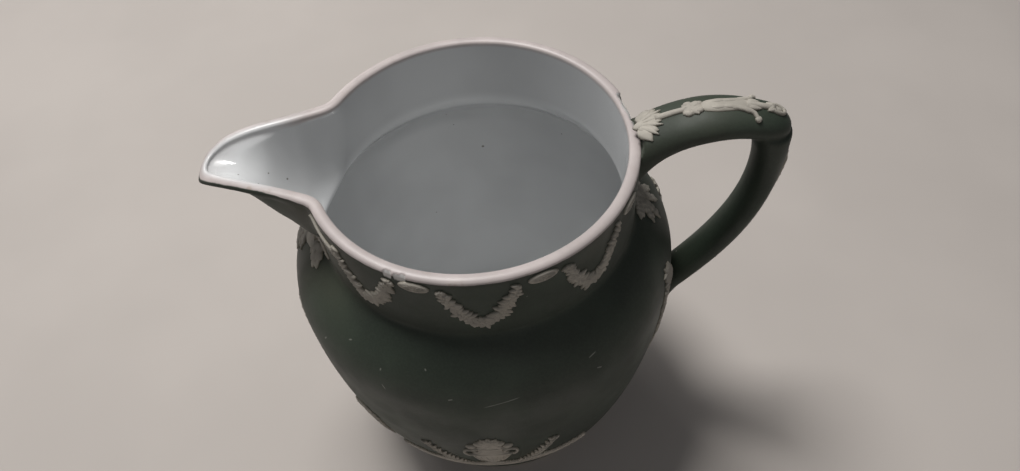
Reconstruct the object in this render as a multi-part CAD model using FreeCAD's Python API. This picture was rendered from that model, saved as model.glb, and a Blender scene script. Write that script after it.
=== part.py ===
import FreeCAD, Part
import math
import os
from FreeCAD import Vector

# Milk jug of white stoneware, dipped green outside, with white applied sprigs.
# Millimetres. The origin lies on the vessel's axis in the plane that it stands on.
# X points to the handle, the spout points to -X and Z points up.

# Vessel, as turned on the lathe
height = 128.0
neck_radius = 44.0
neck_height = 23.3
belly_radius = 56.2
belly_level = 84.6
foot_radius = 38.0
foot_height = 4.6
foot_ring_width = 4.2
foot_recess = 1.8
neck_wall = 3.1
belly_wall = 3.6
lip_round = 1.1
floor_thickness = 4.2

# Spout, pressed in a mould and luted over an opening cut in the neck
spout_reach = 73.2
spout_root_half_width = 16.8
spout_seat_depth = 6.4
spout_tip_drop = 4.6
spout_wall = 2.2

# Handle, pressed in a mould and luted to the neck and the belly
handle_reach = 84.5
handle_rise = 9.0
handle_root_drop = 8.5
handle_end_drop = 2.0
upper_half_width = 7.3
upper_half_thickness = 4.3
root_flare = 2.8
lower_half_width = 5.8
lower_half_thickness = 3.8
corner_flare = 2.6
thumb_overhang = 1.7
handle_foot_drop = 71.5
root_sink = 4.0

# Sprigs, pressed thin in small moulds and laid on the clay, those round the neck first
sprig_thickness = 0.9
patera_width = 7.8
patera_height = 3.4
patera_gap = 1.7
swag_width = 18.4
swag_drop = 13.4
swag_band = 3.4
swag_gap = 2.4
spout_leaf_half_width = 21.0
spout_leaf_length = 17.0
spout_leaf_rise = 5.3
root_leaf_half_width = 9.0
root_leaf_length = 8.6
root_leaf_drop = 0.4

# Sprigs round the belly, on and beside a strip of ground
ground_level = 35.5
ground_height = 4.6
hill_rise = 1.8
tree_gap = 8.8
tree_half_width = 8.0
shrub_height = 17.0
shrub_half_width = 6.0
urn_height = 28.0
urn_half_width = 7.4
spray_start = 7.0
spray_reach = 12.0
spray_rise = 19.0
spray_width = 2.8

# Sprigs along the top of the handle and down its outer face
fan_leaf_half_width = 5.8
stem_width = 1.7
husk_half_width = 2.6
bud_half_width = 2.9
tendril_reach = 4.2
tendril_width = 1.3
limb_leaf_length = 15.0
limb_leaf_half_width = 3.2
limb_leaf_drop = 8.5
sprig_joint_gap = 0.3

# Angles round the axis from the handle, in degrees
patera_pitch_angle = 40.0
first_patera_angle = 27.0
tree_handle_angle = 17.0
urn_angle = 90.0
strip_half_angle = 31.0
shrub_angle = 133.0
tree_spout_angle = 163.0

# Counts
belly_steps = 3
shoulder_steps = 4
inner_belly_steps = 2
inner_shoulder_steps = 2
trough_sides = 6
limb_sides = 12
limb_steps = 8
swag_steps = 3
patera_sides = 8
spray_steps = 3
tendril_steps = 3
hills = 2
spout_leaf_lobes = 2
root_leaf_lobes = 2

# How far each cutting form runs past what it cuts
overrun = 2.0

half_share = 0.5
notch_share = 0.8
crease_level = height - neck_height
floor_level = foot_recess + floor_thickness
standing_level = ground_level + ground_height * half_share


def ellipse_half_height(radius, end_radius, level_gap):
    """Half height of an ellipse that narrows from radius to end_radius over level_gap."""
    return level_gap / math.sqrt(1.0 - (end_radius / radius) ** 2)


belly_half_height = ellipse_half_height(belly_radius, foot_radius, belly_level - foot_height)
shoulder_half_height = ellipse_half_height(belly_radius, neck_radius, crease_level - belly_level)


def belly_curve(skin, low_level, steps):
    """Lower belly from low_level to its widest place, as (radius, level) pairs."""
    half_height = belly_half_height + skin
    low = math.asin((belly_level - low_level) / half_height)
    turns = [low * (1.0 - step / steps) for step in range(steps + 1)]
    radius = belly_radius + skin
    return [(radius * math.cos(t), belly_level - half_height * math.sin(t)) for t in turns]


def shoulder_curve(skin, end_radius, steps):
    """Shoulder from above the widest place to the neck, as (radius, level) pairs."""
    half_height = shoulder_half_height + skin
    radius = belly_radius + skin
    high = math.acos(end_radius / radius)
    turns = [high * step / steps for step in range(1, steps + 1)]
    return [(radius * math.cos(t), belly_level + half_height * math.sin(t)) for t in turns]


def outside_curve(skin, high_level):
    """Outside of the vessel from foot to neck, a skin's thickness outside the clay."""
    points = belly_curve(skin, foot_height, belly_steps)
    points += shoulder_curve(skin, neck_radius + skin, shoulder_steps)
    return points + [(neck_radius + skin, high_level)]


def turned(points):
    """Solid of revolution of a closed outline of (radius, level) pairs."""
    corners = [Vector(radius, 0, level) for radius, level in points]
    outline = Part.makePolygon(corners + corners[:1])
    return Part.Face(outline).revolve(Vector(0, 0, 0), Vector(0, 0, 1), 360)


def filled_vessel(skin, high_level):
    """The vessel without its hollow, a skin's thickness outside the clay."""
    return turned([(0, foot_height)] + outside_curve(skin, high_level) + [(0, high_level)])


def vessel_section():
    """Outline of the vessel's wall with its foot ring, rounded lip and inside."""
    ring_inner = foot_radius - foot_ring_width
    rim_inner = neck_radius - neck_wall
    foot = [(0, foot_recess), (ring_inner, foot_recess), (ring_inner, 0), (foot_radius, 0)]
    outside = outside_curve(0, height - lip_round)
    lip = [(neck_radius - lip_round, height), (rim_inner + lip_round, height)]
    lip += [(rim_inner, height - lip_round)]
    shoulder = shoulder_curve(-belly_wall, rim_inner, inner_shoulder_steps)
    belly = belly_curve(-belly_wall, floor_level, inner_belly_steps)
    return foot + outside + lip + shoulder[::-1] + belly[::-1] + [(0, floor_level)]


# Spout stations from inside the neck to the tip, with the trough's half width, the depth
# of its ridge below the lip, and the fall of the lip there
station_shares = (-0.4, 0.0, 0.24, 0.5, 0.74, 0.9, 0.97, 1.0)
width_shares = (1.28, 1.0, 0.873, 0.871, 0.857, 0.83, 0.733, 0.6)
depth_shares = (1.1, 1.0, 0.78, 0.42, 0.24, 0.125, 0.07, 0.02)
fall_shares = (0.0, 0.0, 0.0, 0.02, 0.18, 0.56, 0.82, 1.0)


def trough(distance, half_width, ridge_level, depth, top_level):
    """Deep half ellipse across the spout with straight sides above it, up to top_level."""
    points = [Vector(-distance, half_width, top_level)]
    for side in range(trough_sides + 1):
        turn = math.pi * side / trough_sides
        level = ridge_level + depth * (1.0 - math.sin(turn))
        points.append(Vector(-distance, half_width * math.cos(turn), level))
    points.append(Vector(-distance, -half_width, top_level))
    return Part.makePolygon(points + points[:1])


def spout_trough(skin):
    """Filled trough of the spout, a skin's thickness outside its clay, open lip uncut."""
    run = spout_reach - neck_radius
    depth = neck_height + spout_seat_depth
    wires = []
    for station, width, deep, fall in zip(station_shares, width_shares, depth_shares, fall_shares):
        ridge_level = height - spout_tip_drop * fall - depth * deep - skin
        distance = neck_radius + run * station + max(skin, 0)
        half_width = spout_root_half_width * width + skin
        wires.append(trough(distance, half_width, ridge_level, depth, height + depth))
    return Part.makeLoft(wires, True, True)


def under_lip():
    """Everything under the spout's lip, which falls towards the tip."""
    run = spout_reach - neck_radius
    wide = Vector(0, belly_radius, 0)
    outline = [Vector(0, 0, 0) - wide, Vector(0, 0, height) - wide]
    for station, fall in list(zip(station_shares, fall_shares))[1:]:
        level = height - spout_tip_drop * fall
        outline.append(Vector(-neck_radius - run * station, 0, level) - wide)
    outline.append(Vector(-spout_reach - overrun, 0, height - spout_tip_drop) - wide)
    outline.append(Vector(-spout_reach - overrun, 0, 0) - wide)
    return prism(outline, wide + wide)


def prism(corners, direction):
    """Straight block over a closed outline of corners."""
    return Part.Face(Part.makePolygon(corners + corners[:1])).extrude(direction)


def bezier(controls, share):
    """Place on a cubic curve with four (radius, level) controls, and its direction."""
    rest = 1.0 - share
    weights = (rest ** 3, 3 * rest ** 2 * share, 3 * rest * share ** 2, share ** 3)
    slopes = (-rest ** 2, rest ** 2 - 2 * rest * share, 2 * rest * share - share ** 2, share ** 2)
    place = [sum(w * c[axis] for w, c in zip(weights, controls)) for axis in (0, 1)]
    slope = [sum(w * c[axis] for w, c in zip(slopes, controls)) for axis in (0, 1)]
    return place, math.atan2(slope[1], slope[0])


def limb_ring(controls, share, half_width, half_thickness, shift=0):
    """Oval section of a handle limb, square to its centre line and shifted off it."""
    (radius, level), turn = bezier(controls, share)
    points = []
    for side in range(limb_sides):
        around = 2 * math.pi * side / limb_sides
        out = half_thickness * math.sin(around) + shift
        points.append(Vector(
            radius - out * math.sin(turn), half_width * math.cos(around), level + out * math.cos(turn)
        ))
    return Part.makePolygon(points + points[:1])


# The two middle controls of each limb's centre line, as shares of its reach from the clay
# and of its rise above the lip or its drop below it
upper_shares = ((0.15, 0.66), (0.6, 1.0))
lower_shares = ((1.075, 0.45), (0.6, 0.67))
lower_top_radius = handle_reach - thumb_overhang - lower_half_thickness
upper_controls = [(neck_radius - root_sink, height - handle_root_drop)]
for across, up in upper_shares:
    upper_controls.append((neck_radius + (handle_reach - neck_radius) * across, height + handle_rise * up))
upper_controls.append((handle_reach, height - handle_end_drop))
lower_controls = [(lower_top_radius, height)]
for across, down in lower_shares:
    radius = belly_radius + (lower_top_radius - belly_radius) * across
    lower_controls.append((radius, height - handle_foot_drop * down))
lower_controls.append((belly_radius - root_sink, height - handle_foot_drop))
# The thumb end closes over the last steps of the upper limb
thumb_shares = (0.98, 0.86, 0.5)


def upper_limb(skin):
    """Upper limb from the neck to its rounded thumb end."""
    wires = []
    for step in range(limb_steps + 1):
        share = step / limb_steps
        late = step - (limb_steps - len(thumb_shares)) - 1
        scale = thumb_shares[late] if late >= 0 else 1.0
        flare = root_flare * (1.0 - share) ** 4
        wires.append(limb_ring(
            upper_controls, share,
            (upper_half_width + flare * half_share) * scale + skin,
            (upper_half_thickness + flare) * scale + skin,
        ))
    return Part.makeLoft(wires, True, True)


def lower_limb(skin):
    """Lower limb from under the thumb end, where it thickens inward, to the belly."""
    wires = []
    for step in range(limb_steps + 1):
        share = step / limb_steps
        flare = corner_flare * (1.0 - share) ** 6
        half_thickness = lower_half_thickness + flare + skin
        wires.append(limb_ring(
            lower_controls, share, lower_half_width + skin, half_thickness, -flare
        ))
    return Part.makeLoft(wires, True, True)


def main_solid(shape):
    """The largest solid of a cut, without the crumbs that a cut can leave."""
    return max(shape.Solids, key=lambda solid: solid.Volume)


def outward(points, angle, near=0):
    """Block that runs outward from near the axis over an outline of (across, level) pairs."""
    run = Vector(handle_reach + overrun - near, 0, 0)
    block = prism([Vector(near, across, level) for across, level in points], run)
    block.rotate(Vector(0, 0, 0), Vector(0, 0, 1), angle)
    return block


def over_handle(points):
    """Block that stands on the upper limb's centre line over (along, across) pairs."""
    high = height + handle_rise + upper_half_thickness + overrun
    block = prism([Vector(x, y, 0) for x, y in points], Vector(0, 0, high))
    line = [bezier(upper_controls, step / limb_steps)[0] for step in range(limb_steps + 1)]
    wide = Vector(0, belly_radius, 0)
    corners = [Vector(radius, 0, level) - wide for radius, level in line]
    corners += [Vector(handle_reach, 0, high) - wide, Vector(0, 0, high) - wide]
    return block.common(prism(corners, wide + wide))


def mirrored(half):
    """Closed outline from the (across, level) pairs of its right half."""
    return half + [(-across, level) for across, level in reversed(half)]


def fan(top_level, half_width, length, lobes):
    """Leaf that fans downward from the middle of its top edge, in blunt lobes."""
    points = [(0, top_level)]
    for step in range(lobes * 2 + 1):
        turn = math.pi * step / (lobes * 2)
        size = notch_share if step % 2 else 1.0
        points.append((half_width * size * math.cos(turn), top_level - length * size * math.sin(turn)))
    return points


def swag_outline():
    """Hanging garland, a band along a parabola."""
    top_level = height - swag_gap - swag_band * half_share
    edges = ([], [])
    for step in range(-swag_steps, swag_steps + 1):
        share = step / swag_steps
        level = top_level - swag_drop * (1.0 - share ** 2)
        turn = math.atan2(2 * swag_drop * share, swag_width * half_share)
        for edge, reach in zip(edges, (-swag_band * half_share, swag_band * half_share)):
            across = swag_width * half_share * share - reach * math.sin(turn)
            edge.append((across, level + reach * math.cos(turn)))
    return edges[0] + edges[1][::-1]


def patera_outline():
    """Upright oval rosette under the lip, longer across than high."""
    centre_level = height - patera_gap - patera_height * half_share
    points = []
    for side in range(patera_sides):
        turn = 2 * math.pi * side / patera_sides
        across = patera_width * half_share * math.cos(turn)
        points.append((across, centre_level + patera_height * half_share * math.sin(turn)))
    return points


# Right halves from the foot up, as shares of the half width and the height
tree_shares = ((0.6, 0.0), (0.2, 0.14), (0.95, 0.42), (0.8, 0.74), (0.1, 1.0))
urn_shares = ((0.6, 0.0), (0.18, 0.2), (1.0, 0.55), (0.6, 0.82), (0.8, 1.0))


def standing(shares, half_width, tall):
    """Outline that stands on the strip of ground, alike on both sides of its middle."""
    return mirrored([(half_width * across, standing_level + tall * up) for across, up in shares])


def spray_outline(side):
    """Leafy spray that leans away from the urn's foot, right for 1 and left for -1."""
    edges = ([], [])
    for step in range(spray_steps + 1):
        share = step / spray_steps
        reach = spray_width * half_share * (1.0 - share) ** 0.5
        level = standing_level + spray_rise * share ** 1.6
        for edge, out in zip(edges, (reach, -reach)):
            edge.append((side * (spray_start + spray_reach * share + out), level))
    return edges[0] + edges[1][-2::-1]


def strip_outline():
    """Strip of ground with low hills along its top."""
    half_width = belly_radius * math.sin(math.radians(strip_half_angle))
    points = [(-half_width, ground_level), (half_width, ground_level)]
    for step in range(hills * 2 + 1):
        level = ground_level + ground_height + (hill_rise if step % 2 else 0)
        points.append((half_width * (1.0 - step / hills), level))
    return points


# Half widths of a pointed leaf from its broad end to its tip
leaf_shares = (0.45, 0.9, 1.0, 0.72, 0.2)


def leaf(start, length, half_width):
    """Pointed leaf along the first axis from start, as (along, across) pairs."""
    half = []
    for step, share in enumerate(leaf_shares):
        half.append((start + length * step / (len(leaf_shares) - 1), half_width * share))
    return half + [(along, -across) for along, across in reversed(half)]


def bar(start, length, width):
    """Straight stem along the first axis, as (along, across) pairs."""
    side = width * half_share
    return [(start, -side), (start + length, -side), (start + length, side), (start, side)]


def tendril(start, side):
    """Shoot that leaves beside the second stem and curls to one side of the handle."""
    near = stem_width * half_share + sprig_joint_gap
    inner = []
    outer = []
    for step in range(tendril_steps + 1):
        turn = math.pi * half_share * step / tendril_steps
        for edge, reach in ((inner, tendril_reach - tendril_width), (outer, tendril_reach)):
            across = near + tendril_reach - reach * math.cos(turn)
            edge.append((start + reach * math.sin(turn), side * across))
    return inner + outer[::-1]


def turned_sprigs(shell):
    """Everything laid on the turned surface on both sides of the jug, by name."""
    tree_top = crease_level + spout_leaf_rise - spout_leaf_length - tree_gap
    tree = standing(tree_shares, tree_half_width, tree_top - standing_level)
    shrub = standing(tree_shares, shrub_half_width, shrub_height)
    urn = standing(urn_shares, urn_half_width, urn_height)
    pieces = {}
    for side, word in ((-1, "front"), (1, "back")):
        blocks = {}
        for place in range(3):
            angle = first_patera_angle + patera_pitch_angle * place
            number = str(place + 1)
            blocks["neck_patera_" + word + "_" + number] = outward(patera_outline(), side * angle)
            angle += patera_pitch_angle * half_share
            blocks["neck_swag_" + word + "_" + number] = outward(swag_outline(), side * angle)
        blocks["tree_by_spout_" + word] = outward(tree, side * tree_spout_angle)
        blocks["tree_by_handle_" + word] = outward(tree, side * tree_handle_angle)
        blocks["shrub_" + word] = outward(shrub, side * shrub_angle)
        scene = outward(strip_outline(), side * urn_angle)
        for outline in (urn, spray_outline(1), spray_outline(-1)):
            scene = scene.fuse(outward(outline, side * urn_angle))
        blocks["urn_on_ground_" + word] = scene
        for name, block in blocks.items():
            pieces[name] = main_solid(block.common(shell))
    return pieces


def root_leaves(shell, spout_block):
    """Leaves on the shoulder round the root of the spout and under that of the handle."""
    spout_leaf = fan(
        crease_level + spout_leaf_rise, spout_leaf_half_width, spout_leaf_length, spout_leaf_lobes
    )
    root_leaf = fan(
        crease_level - root_leaf_drop, root_leaf_half_width, root_leaf_length, root_leaf_lobes
    )
    return {
        "spout_leaf": main_solid(outward(spout_leaf, 180.0).common(shell).cut(spout_block)),
        "handle_root_leaf": main_solid(outward(root_leaf, 0).common(shell)),
    }


# Pieces of the chain along the upper limb: start and end as shares of the limb's run
chain_shares = (
    ("fan_leaf", 0.0, 0.16, fan_leaf_half_width),
    ("first_stem", 0.16, 0.31, 0),
    ("first_husk", 0.31, 0.41, husk_half_width),
    ("bud", 0.41, 0.66, bud_half_width),
    ("second_stem", 0.66, 0.81, 0),
    ("second_husk", 0.81, 0.91, husk_half_width),
)


def handle_sprigs(filled):
    """Leaf, stems, husks, bud and tendrils along the upper limb, and the lower limb's leaf."""
    upper_shell = upper_limb(sprig_thickness).cut(upper_limb(0)).cut(filled)
    outlines = {}
    run = handle_reach - neck_radius
    for name, start, end, half_width in chain_shares:
        place = neck_radius + run * start + sprig_joint_gap
        length = run * (end - start) - sprig_joint_gap
        if half_width:
            outlines["handle_" + name] = leaf(place, length, half_width)
        else:
            outlines["handle_" + name] = bar(place, length, stem_width)
        if name == "second_stem":
            outlines["handle_tendril_back"] = tendril(place, 1)
            outlines["handle_tendril_front"] = tendril(place, -1)
    pieces = {}
    for name, points in outlines.items():
        pieces[name] = main_solid(over_handle(points).common(upper_shell))
    hanging = leaf(limb_leaf_drop, limb_leaf_length, limb_leaf_half_width)
    hanging = [(across, height - down) for down, across in hanging]
    lower_shell = lower_limb(sprig_thickness).cut(lower_limb(0)).cut(upper_limb(0))
    pieces["handle_limb_leaf"] = main_solid(outward(hanging, 0, lower_top_radius).common(lower_shell))
    return pieces


def built():
    """Every piece of the jug by its node's name."""
    vessel = turned(vessel_section())
    filled = filled_vessel(0, height + overrun)
    channel = spout_trough(-spout_wall)
    spout_block = spout_trough(0)
    spout = spout_block.common(under_lip()).cut(channel).cut(filled).cut(vessel)
    shell = filled_vessel(sprig_thickness, height - lip_round).cut(filled)
    pieces = {
        "vessel_body": vessel.cut(channel),
        "pouring_spout": main_solid(spout),
        "handle": main_solid(upper_limb(0).fuse(lower_limb(0)).cut(filled)),
    }
    pieces.update(turned_sprigs(shell))
    pieces.update(root_leaves(shell, spout_block))
    pieces.update(handle_sprigs(filled))
    return pieces


if __name__ == "__main__":
    os.makedirs("parts", exist_ok=True)
    for name, shape in built().items():
        print(name, shape.isValid(), len(shape.Solids), round(shape.Volume, 1))
        shape.exportStep("parts/" + name + ".step")
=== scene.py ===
"""Milk jug of white stoneware, dipped green outside, with applied white sprigs."""

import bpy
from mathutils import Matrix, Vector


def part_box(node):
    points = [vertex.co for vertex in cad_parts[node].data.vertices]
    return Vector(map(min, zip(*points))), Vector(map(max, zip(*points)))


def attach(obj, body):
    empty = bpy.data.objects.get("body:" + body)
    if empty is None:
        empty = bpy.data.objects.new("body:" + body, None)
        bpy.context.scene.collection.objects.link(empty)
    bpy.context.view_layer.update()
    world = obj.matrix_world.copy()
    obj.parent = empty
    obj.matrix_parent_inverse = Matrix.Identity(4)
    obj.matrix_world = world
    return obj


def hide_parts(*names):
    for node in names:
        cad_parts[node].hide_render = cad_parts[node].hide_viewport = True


bl_info = {
    "name": "Sprigged Stoneware Jug",
    "version": (1, 0, 0),
    "blender": (4, 5, 0),
    "location": "3D View > Sidebar > Jug",
    "description": "Builds a dipped stoneware jug with its spout, handle, sprigs and stage",
    "category": "Add Mesh",
}

import math
from types import SimpleNamespace

import bpy
import numpy as np
from mathutils import Matrix, Vector

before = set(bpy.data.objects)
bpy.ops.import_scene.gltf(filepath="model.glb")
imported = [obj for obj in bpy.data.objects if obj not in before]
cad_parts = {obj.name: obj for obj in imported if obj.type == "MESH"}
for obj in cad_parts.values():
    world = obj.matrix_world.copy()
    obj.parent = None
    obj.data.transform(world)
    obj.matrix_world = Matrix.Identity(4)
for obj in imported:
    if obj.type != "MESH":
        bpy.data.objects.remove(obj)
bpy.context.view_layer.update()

MM = 0.001
BODY = "root"
SIDES = ((-1, "front"), (1, "back"))

vessel_low, vessel_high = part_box("vessel_body")
spout_low, spout_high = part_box("pouring_spout")


# ---------------------------------------------------------------- sizes and colours


def length(name, description, default):
    """A length of the jug, in metres."""
    return bpy.props.FloatProperty(
        name=name, description=description, default=default, min=0.0, unit="LENGTH"
    )


def tint(name, description, default):
    """A finish's colour, linear red, green and blue."""
    return bpy.props.FloatVectorProperty(
        name=name, description=description, default=default, min=0.0, max=1.0,
        size=3, subtype="COLOR",
    )


class JugSizes(bpy.types.PropertyGroup):
    """Sizes of the thrown vessel, its spout and its handle."""

    height: length("Height", "Height of the lip above the table", vessel_high.z)
    neck_radius: length("Neck radius", "Outer radius of the neck and the lip", 0.044)
    neck_height: length("Neck height", "Height of the neck from the crease to the lip", 0.0233)
    belly_radius: length("Belly radius", "Radius at the widest place", vessel_high.y)
    belly_level: length("Belly level", "Height of the widest place", 0.0846)
    foot_radius: length("Foot radius", "Outer radius of the foot ring", 0.038)
    foot_height: length("Foot height", "Height of the foot's straight side", 0.0046)
    foot_ring_width: length("Foot ring width", "Width of the ring that stands on the table", 0.0042)
    foot_recess: length("Foot recess", "Depth of the underside inside the ring", 0.0018)
    neck_wall: length("Neck wall", "Thickness of the neck", 0.0031)
    belly_wall: length("Belly wall", "Thickness of the belly", 0.0036)
    floor_thickness: length("Floor thickness", "Thickness of the floor", 0.0042)
    lip_round: length("Lip round", "Height of the lip's rounding", 0.0011)
    spout_reach: length("Spout reach", "Distance of the spout's tip from the axis", -spout_low.x)
    spout_root_half_width: length("Spout half width", "Half width of the spout at the neck", 0.0168)
    spout_seat_depth: length("Spout seat depth", "How far the spout reaches below the neck", 0.0064)
    spout_tip_drop: length("Spout tip drop", "Fall of the lip towards the tip", 0.0046)
    spout_wall: length("Spout wall", "Thickness of the spout", 0.0022)
    handle_reach: length("Handle reach", "Distance of the thumb end from the axis", 0.0845)
    handle_rise: length("Handle rise", "Rise of the upper limb's controls above the lip", 0.009)
    upper_half_width: length("Upper limb half width", "Half width of the upper limb", 0.0073)
    upper_half_thickness: length(
        "Upper limb half thickness", "Half thickness of the upper limb", 0.0043
    )
    lower_half_width: length("Lower limb half width", "Half width of the lower limb", 0.0058)
    lower_half_thickness: length(
        "Lower limb half thickness", "Half thickness of the lower limb", 0.0038
    )
    sprig_relief: length("Sprig relief", "How far the sprigs stand off the clay", 0.00085)


class JugColours(bpy.types.PropertyGroup):
    """Colours of the dip, the bare clay, the glaze and the floor."""

    dip: tint("Dip", "Dark green slip", (0.028, 0.039, 0.027))
    dip_olive: tint("Worn dip", "Browner green of handled places", (0.050, 0.045, 0.028))
    sprig: tint("Sprig", "Bare white stoneware", (0.43, 0.40, 0.35))
    lip: tint("Lip", "Thinly glazed pinkish lip", (0.53, 0.47, 0.455))
    glaze: tint("Glaze", "Bluish white inside", (0.70, 0.71, 0.715))
    floor: tint("Floor", "Pale table top", (0.55, 0.505, 0.47))


def measures(context):
    """Every size in millimetres."""
    sizes = context.scene.jug_sizes
    names = [p.identifier for p in sizes.bl_rna.properties if p.type == "FLOAT"]
    v = SimpleNamespace(**{name: getattr(sizes, name) / MM for name in names})
    v.crease_level = v.height - v.neck_height
    v.floor_level = v.foot_recess + v.floor_thickness
    return v


# ---------------------------------------------------------------- shape arithmetic


def ease(value, low, high):
    """0 below low, 1 above high and smooth between."""
    share = np.clip((value - low) / (high - low), 0.0, 1.0)
    return share * share * (3.0 - 2.0 * share)


def soft_max(a, b, soft):
    """The larger of two values, with a fillet where they are close."""
    share = np.clip(0.5 + 0.5 * (a - b) / soft, 0.0, 1.0)
    return b + (a - b) * share + soft * share * (1.0 - share)


def farthest(low, high, steps, is_inside):
    """The farthest distances that are inside, found by halving."""
    for _ in range(steps):
        middle = (low + high) / 2
        inside = is_inside(middle)
        low, high = np.where(inside, middle, low), np.where(inside, high, middle)
    return low


def smooth_table(x, xs, ys):
    """Smooth line through a table without overshoot."""
    xs, ys = np.asarray(xs, float), np.asarray(ys, float)
    steps, rises = np.diff(xs), np.diff(ys)
    slopes = rises / steps
    before, after = slopes[:-1], slopes[1:]
    inner = np.where(before * after > 0, 2 * before * after / (before + after + 1e-12), 0.0)
    tangents = np.concatenate([slopes[:1], inner, slopes[-1:]])
    x = np.clip(x, xs[0], xs[-1])
    place = np.clip(np.searchsorted(xs, x, side="right") - 1, 0, len(xs) - 2)
    t = (x - xs[place]) / steps[place]
    start, end = ys[place], ys[place + 1]
    lead, trail = tangents[place] * steps[place], tangents[place + 1] * steps[place]
    return (
        start * (1 + 2 * t) * (1 - t) ** 2
        + end * t * t * (3 - 2 * t)
        + lead * t * (1 - t) ** 2
        - trail * t * t * (1 - t)
    )


# Fillets of the crease between neck and belly
CREASE_OUTSIDE = 1.4
CREASE_INSIDE = 7.0


def ellipse_half(rise, radius, widest):
    """Half height of an ellipse that has a radius at a rise from its widest place."""
    return rise / math.sqrt(1 - (radius / widest) ** 2)


def body_radius(v, level, skin):
    """Radius of the turned body at a level; skin is how far outside the clay's outside."""
    low_half = ellipse_half(v.belly_level - v.foot_height, v.foot_radius, v.belly_radius)
    high_half = ellipse_half(v.crease_level - v.belly_level, v.neck_radius, v.belly_radius)
    away = level - v.belly_level
    half = np.where(away < 0, low_half, high_half) + skin
    belly = (v.belly_radius + skin) * np.sqrt(np.clip(1 - (away / half) ** 2, 0, 1))
    neck = v.neck_radius + (skin if skin > 0 else skin * v.neck_wall / v.belly_wall)
    soft = CREASE_INSIDE if skin < 0 else CREASE_OUTSIDE
    return np.where(away < 0, belly, soft_max(belly, np.full_like(belly, neck), soft))


# The spout from inside the neck to the tip: its half width, the depth of its keel below
# the lip and the fall of the lip, as shares of its own run, width, depth and fall
STATIONS = (-0.4, 0.0, 0.24, 0.5, 0.74, 0.9, 0.97, 1.0)
WIDTHS = (1.28, 1.0, 0.873, 0.871, 0.857, 0.83, 0.733, 0.6)
DEPTHS = (1.1, 1.0, 0.76, 0.39, 0.215, 0.11, 0.062, 0.02)
FALLS = (0.0, 0.0, 0.0, 0.02, 0.18, 0.56, 0.82, 1.0)
# Half width of the lip's outline there
PLANS = (1.3, 1.0, 0.852, 0.71, 0.557, 0.4, 0.27, 0.0)


def spout_share(v, distance):
    """Place along the spout's run, 0 at the neck and 1 at the tip."""
    return (distance - v.neck_radius) / (v.spout_reach - v.neck_radius)


def lip_level(v, distance):
    """Level of the lip's crown at a distance towards the spout."""
    return v.height - v.spout_tip_drop * smooth_table(spout_share(v, distance), STATIONS, FALLS)


def spout_radius(v, turn, level, wall):
    """Radius of the spout's face at a turn from its middle; wall is the depth inside its clay."""
    depth = v.neck_height + v.spout_seat_depth

    def inside(radius):
        distance, across = radius * np.cos(turn), np.abs(radius * np.sin(turn))
        share = spout_share(v, distance + 0.6 * wall)
        half = v.spout_root_half_width * smooth_table(share, STATIONS, WIDTHS) - wall
        keel = v.height - v.spout_tip_drop * smooth_table(share, STATIONS, FALLS)
        keel = keel - depth * smooth_table(share, STATIONS, DEPTHS) + wall
        rise = np.clip((keel + depth - level) / depth, 0, None)
        return (across / half) ** 2 + rise**2 < 1

    low = np.full(np.broadcast(turn, level).shape, 8.0)
    return farthest(low, np.full_like(low, v.spout_reach - 0.8 * wall), 22, inside)


def plan_radius(v, turn, inset):
    """Radius of the spout's lip outline at a turn from its middle, inset by a width."""

    def inside(radius):
        share = spout_share(v, radius * np.cos(turn) + 0.9 * inset)
        half = v.spout_root_half_width * smooth_table(share, STATIONS, PLANS) - inset
        return np.abs(radius * np.sin(turn)) < half

    low = np.full(turn.shape, 20.0)
    return farthest(low, np.full(turn.shape, v.spout_reach - 0.9 * inset), 24, inside)


LIP_WIDTH = 2.5
SPOUT_HALF_ANGLE = math.radians(42.0)
# Drops below the lip between which the spout takes up the lip's outline
BAND_OUTSIDE = (3.0, 1.1)
BAND_INSIDE = (3.0, 1.2)
# Fillets between spout and neck: outside at SEAM_DEPTH below the lip and at the lip, and inside
SEAM_DEPTH = 30
SEAM_OUTSIDE = (2.8, 1.3)
SEAM_INSIDE = 2.6


def face_radius(v, angle, level, skin, wall, inset, band, fillet):
    """Radius of one face of the clay at an angle from the handle and a level."""
    body = body_radius(v, level, skin)
    turn, level, body = np.broadcast_arrays(np.abs(angle) - math.pi, level, body)
    radius = body.copy()
    near = np.abs(turn) < SPOUT_HALF_ANGLE
    turn, level, body = turn[near], level[near], body[near]
    trough, plan = spout_radius(v, turn, level, wall), plan_radius(v, turn, inset)
    lip = lip_level(v, plan * np.cos(turn))
    spout = trough + (plan - trough) * ease(level, lip - band[0], lip - band[1])
    radius[near] = soft_max(spout, body, fillet(level))
    return radius


def outer_radius(v, angle, level):
    """Radius of the clay's outside."""

    def fillet(at):
        return np.interp(at, (v.height - SEAM_DEPTH, v.height), SEAM_OUTSIDE)

    return face_radius(v, angle, level, 0.0, 0.0, 0.0, BAND_OUTSIDE, fillet)


def inner_radius(v, angle, level):
    """Radius of the clay's inside."""

    def fillet(at):
        return SEAM_INSIDE

    return face_radius(
        v, angle, level, -v.belly_wall, v.spout_wall, LIP_WIDTH, BAND_INSIDE, fillet
    )


def polar(angle, radius, level):
    """Points from angle, radius and level."""
    x, y = radius * np.cos(angle), radius * np.sin(angle)
    return np.stack([x, y, level + 0 * x], -1)


# Damage to the lip: angle, half angle, share of the lip's width that is lost, depth
CHIPS = (
    (14.5, 8.0, 0.62, 1.0),
    (5.2, 2.6, 0.5, 0.6),
    (-115.4, 1.5, 0.34, 0.26),
    (-112.3, 1.1, 0.28, 0.2),
    (-110.3, 1.2, 0.36, 0.26),
)
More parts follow.
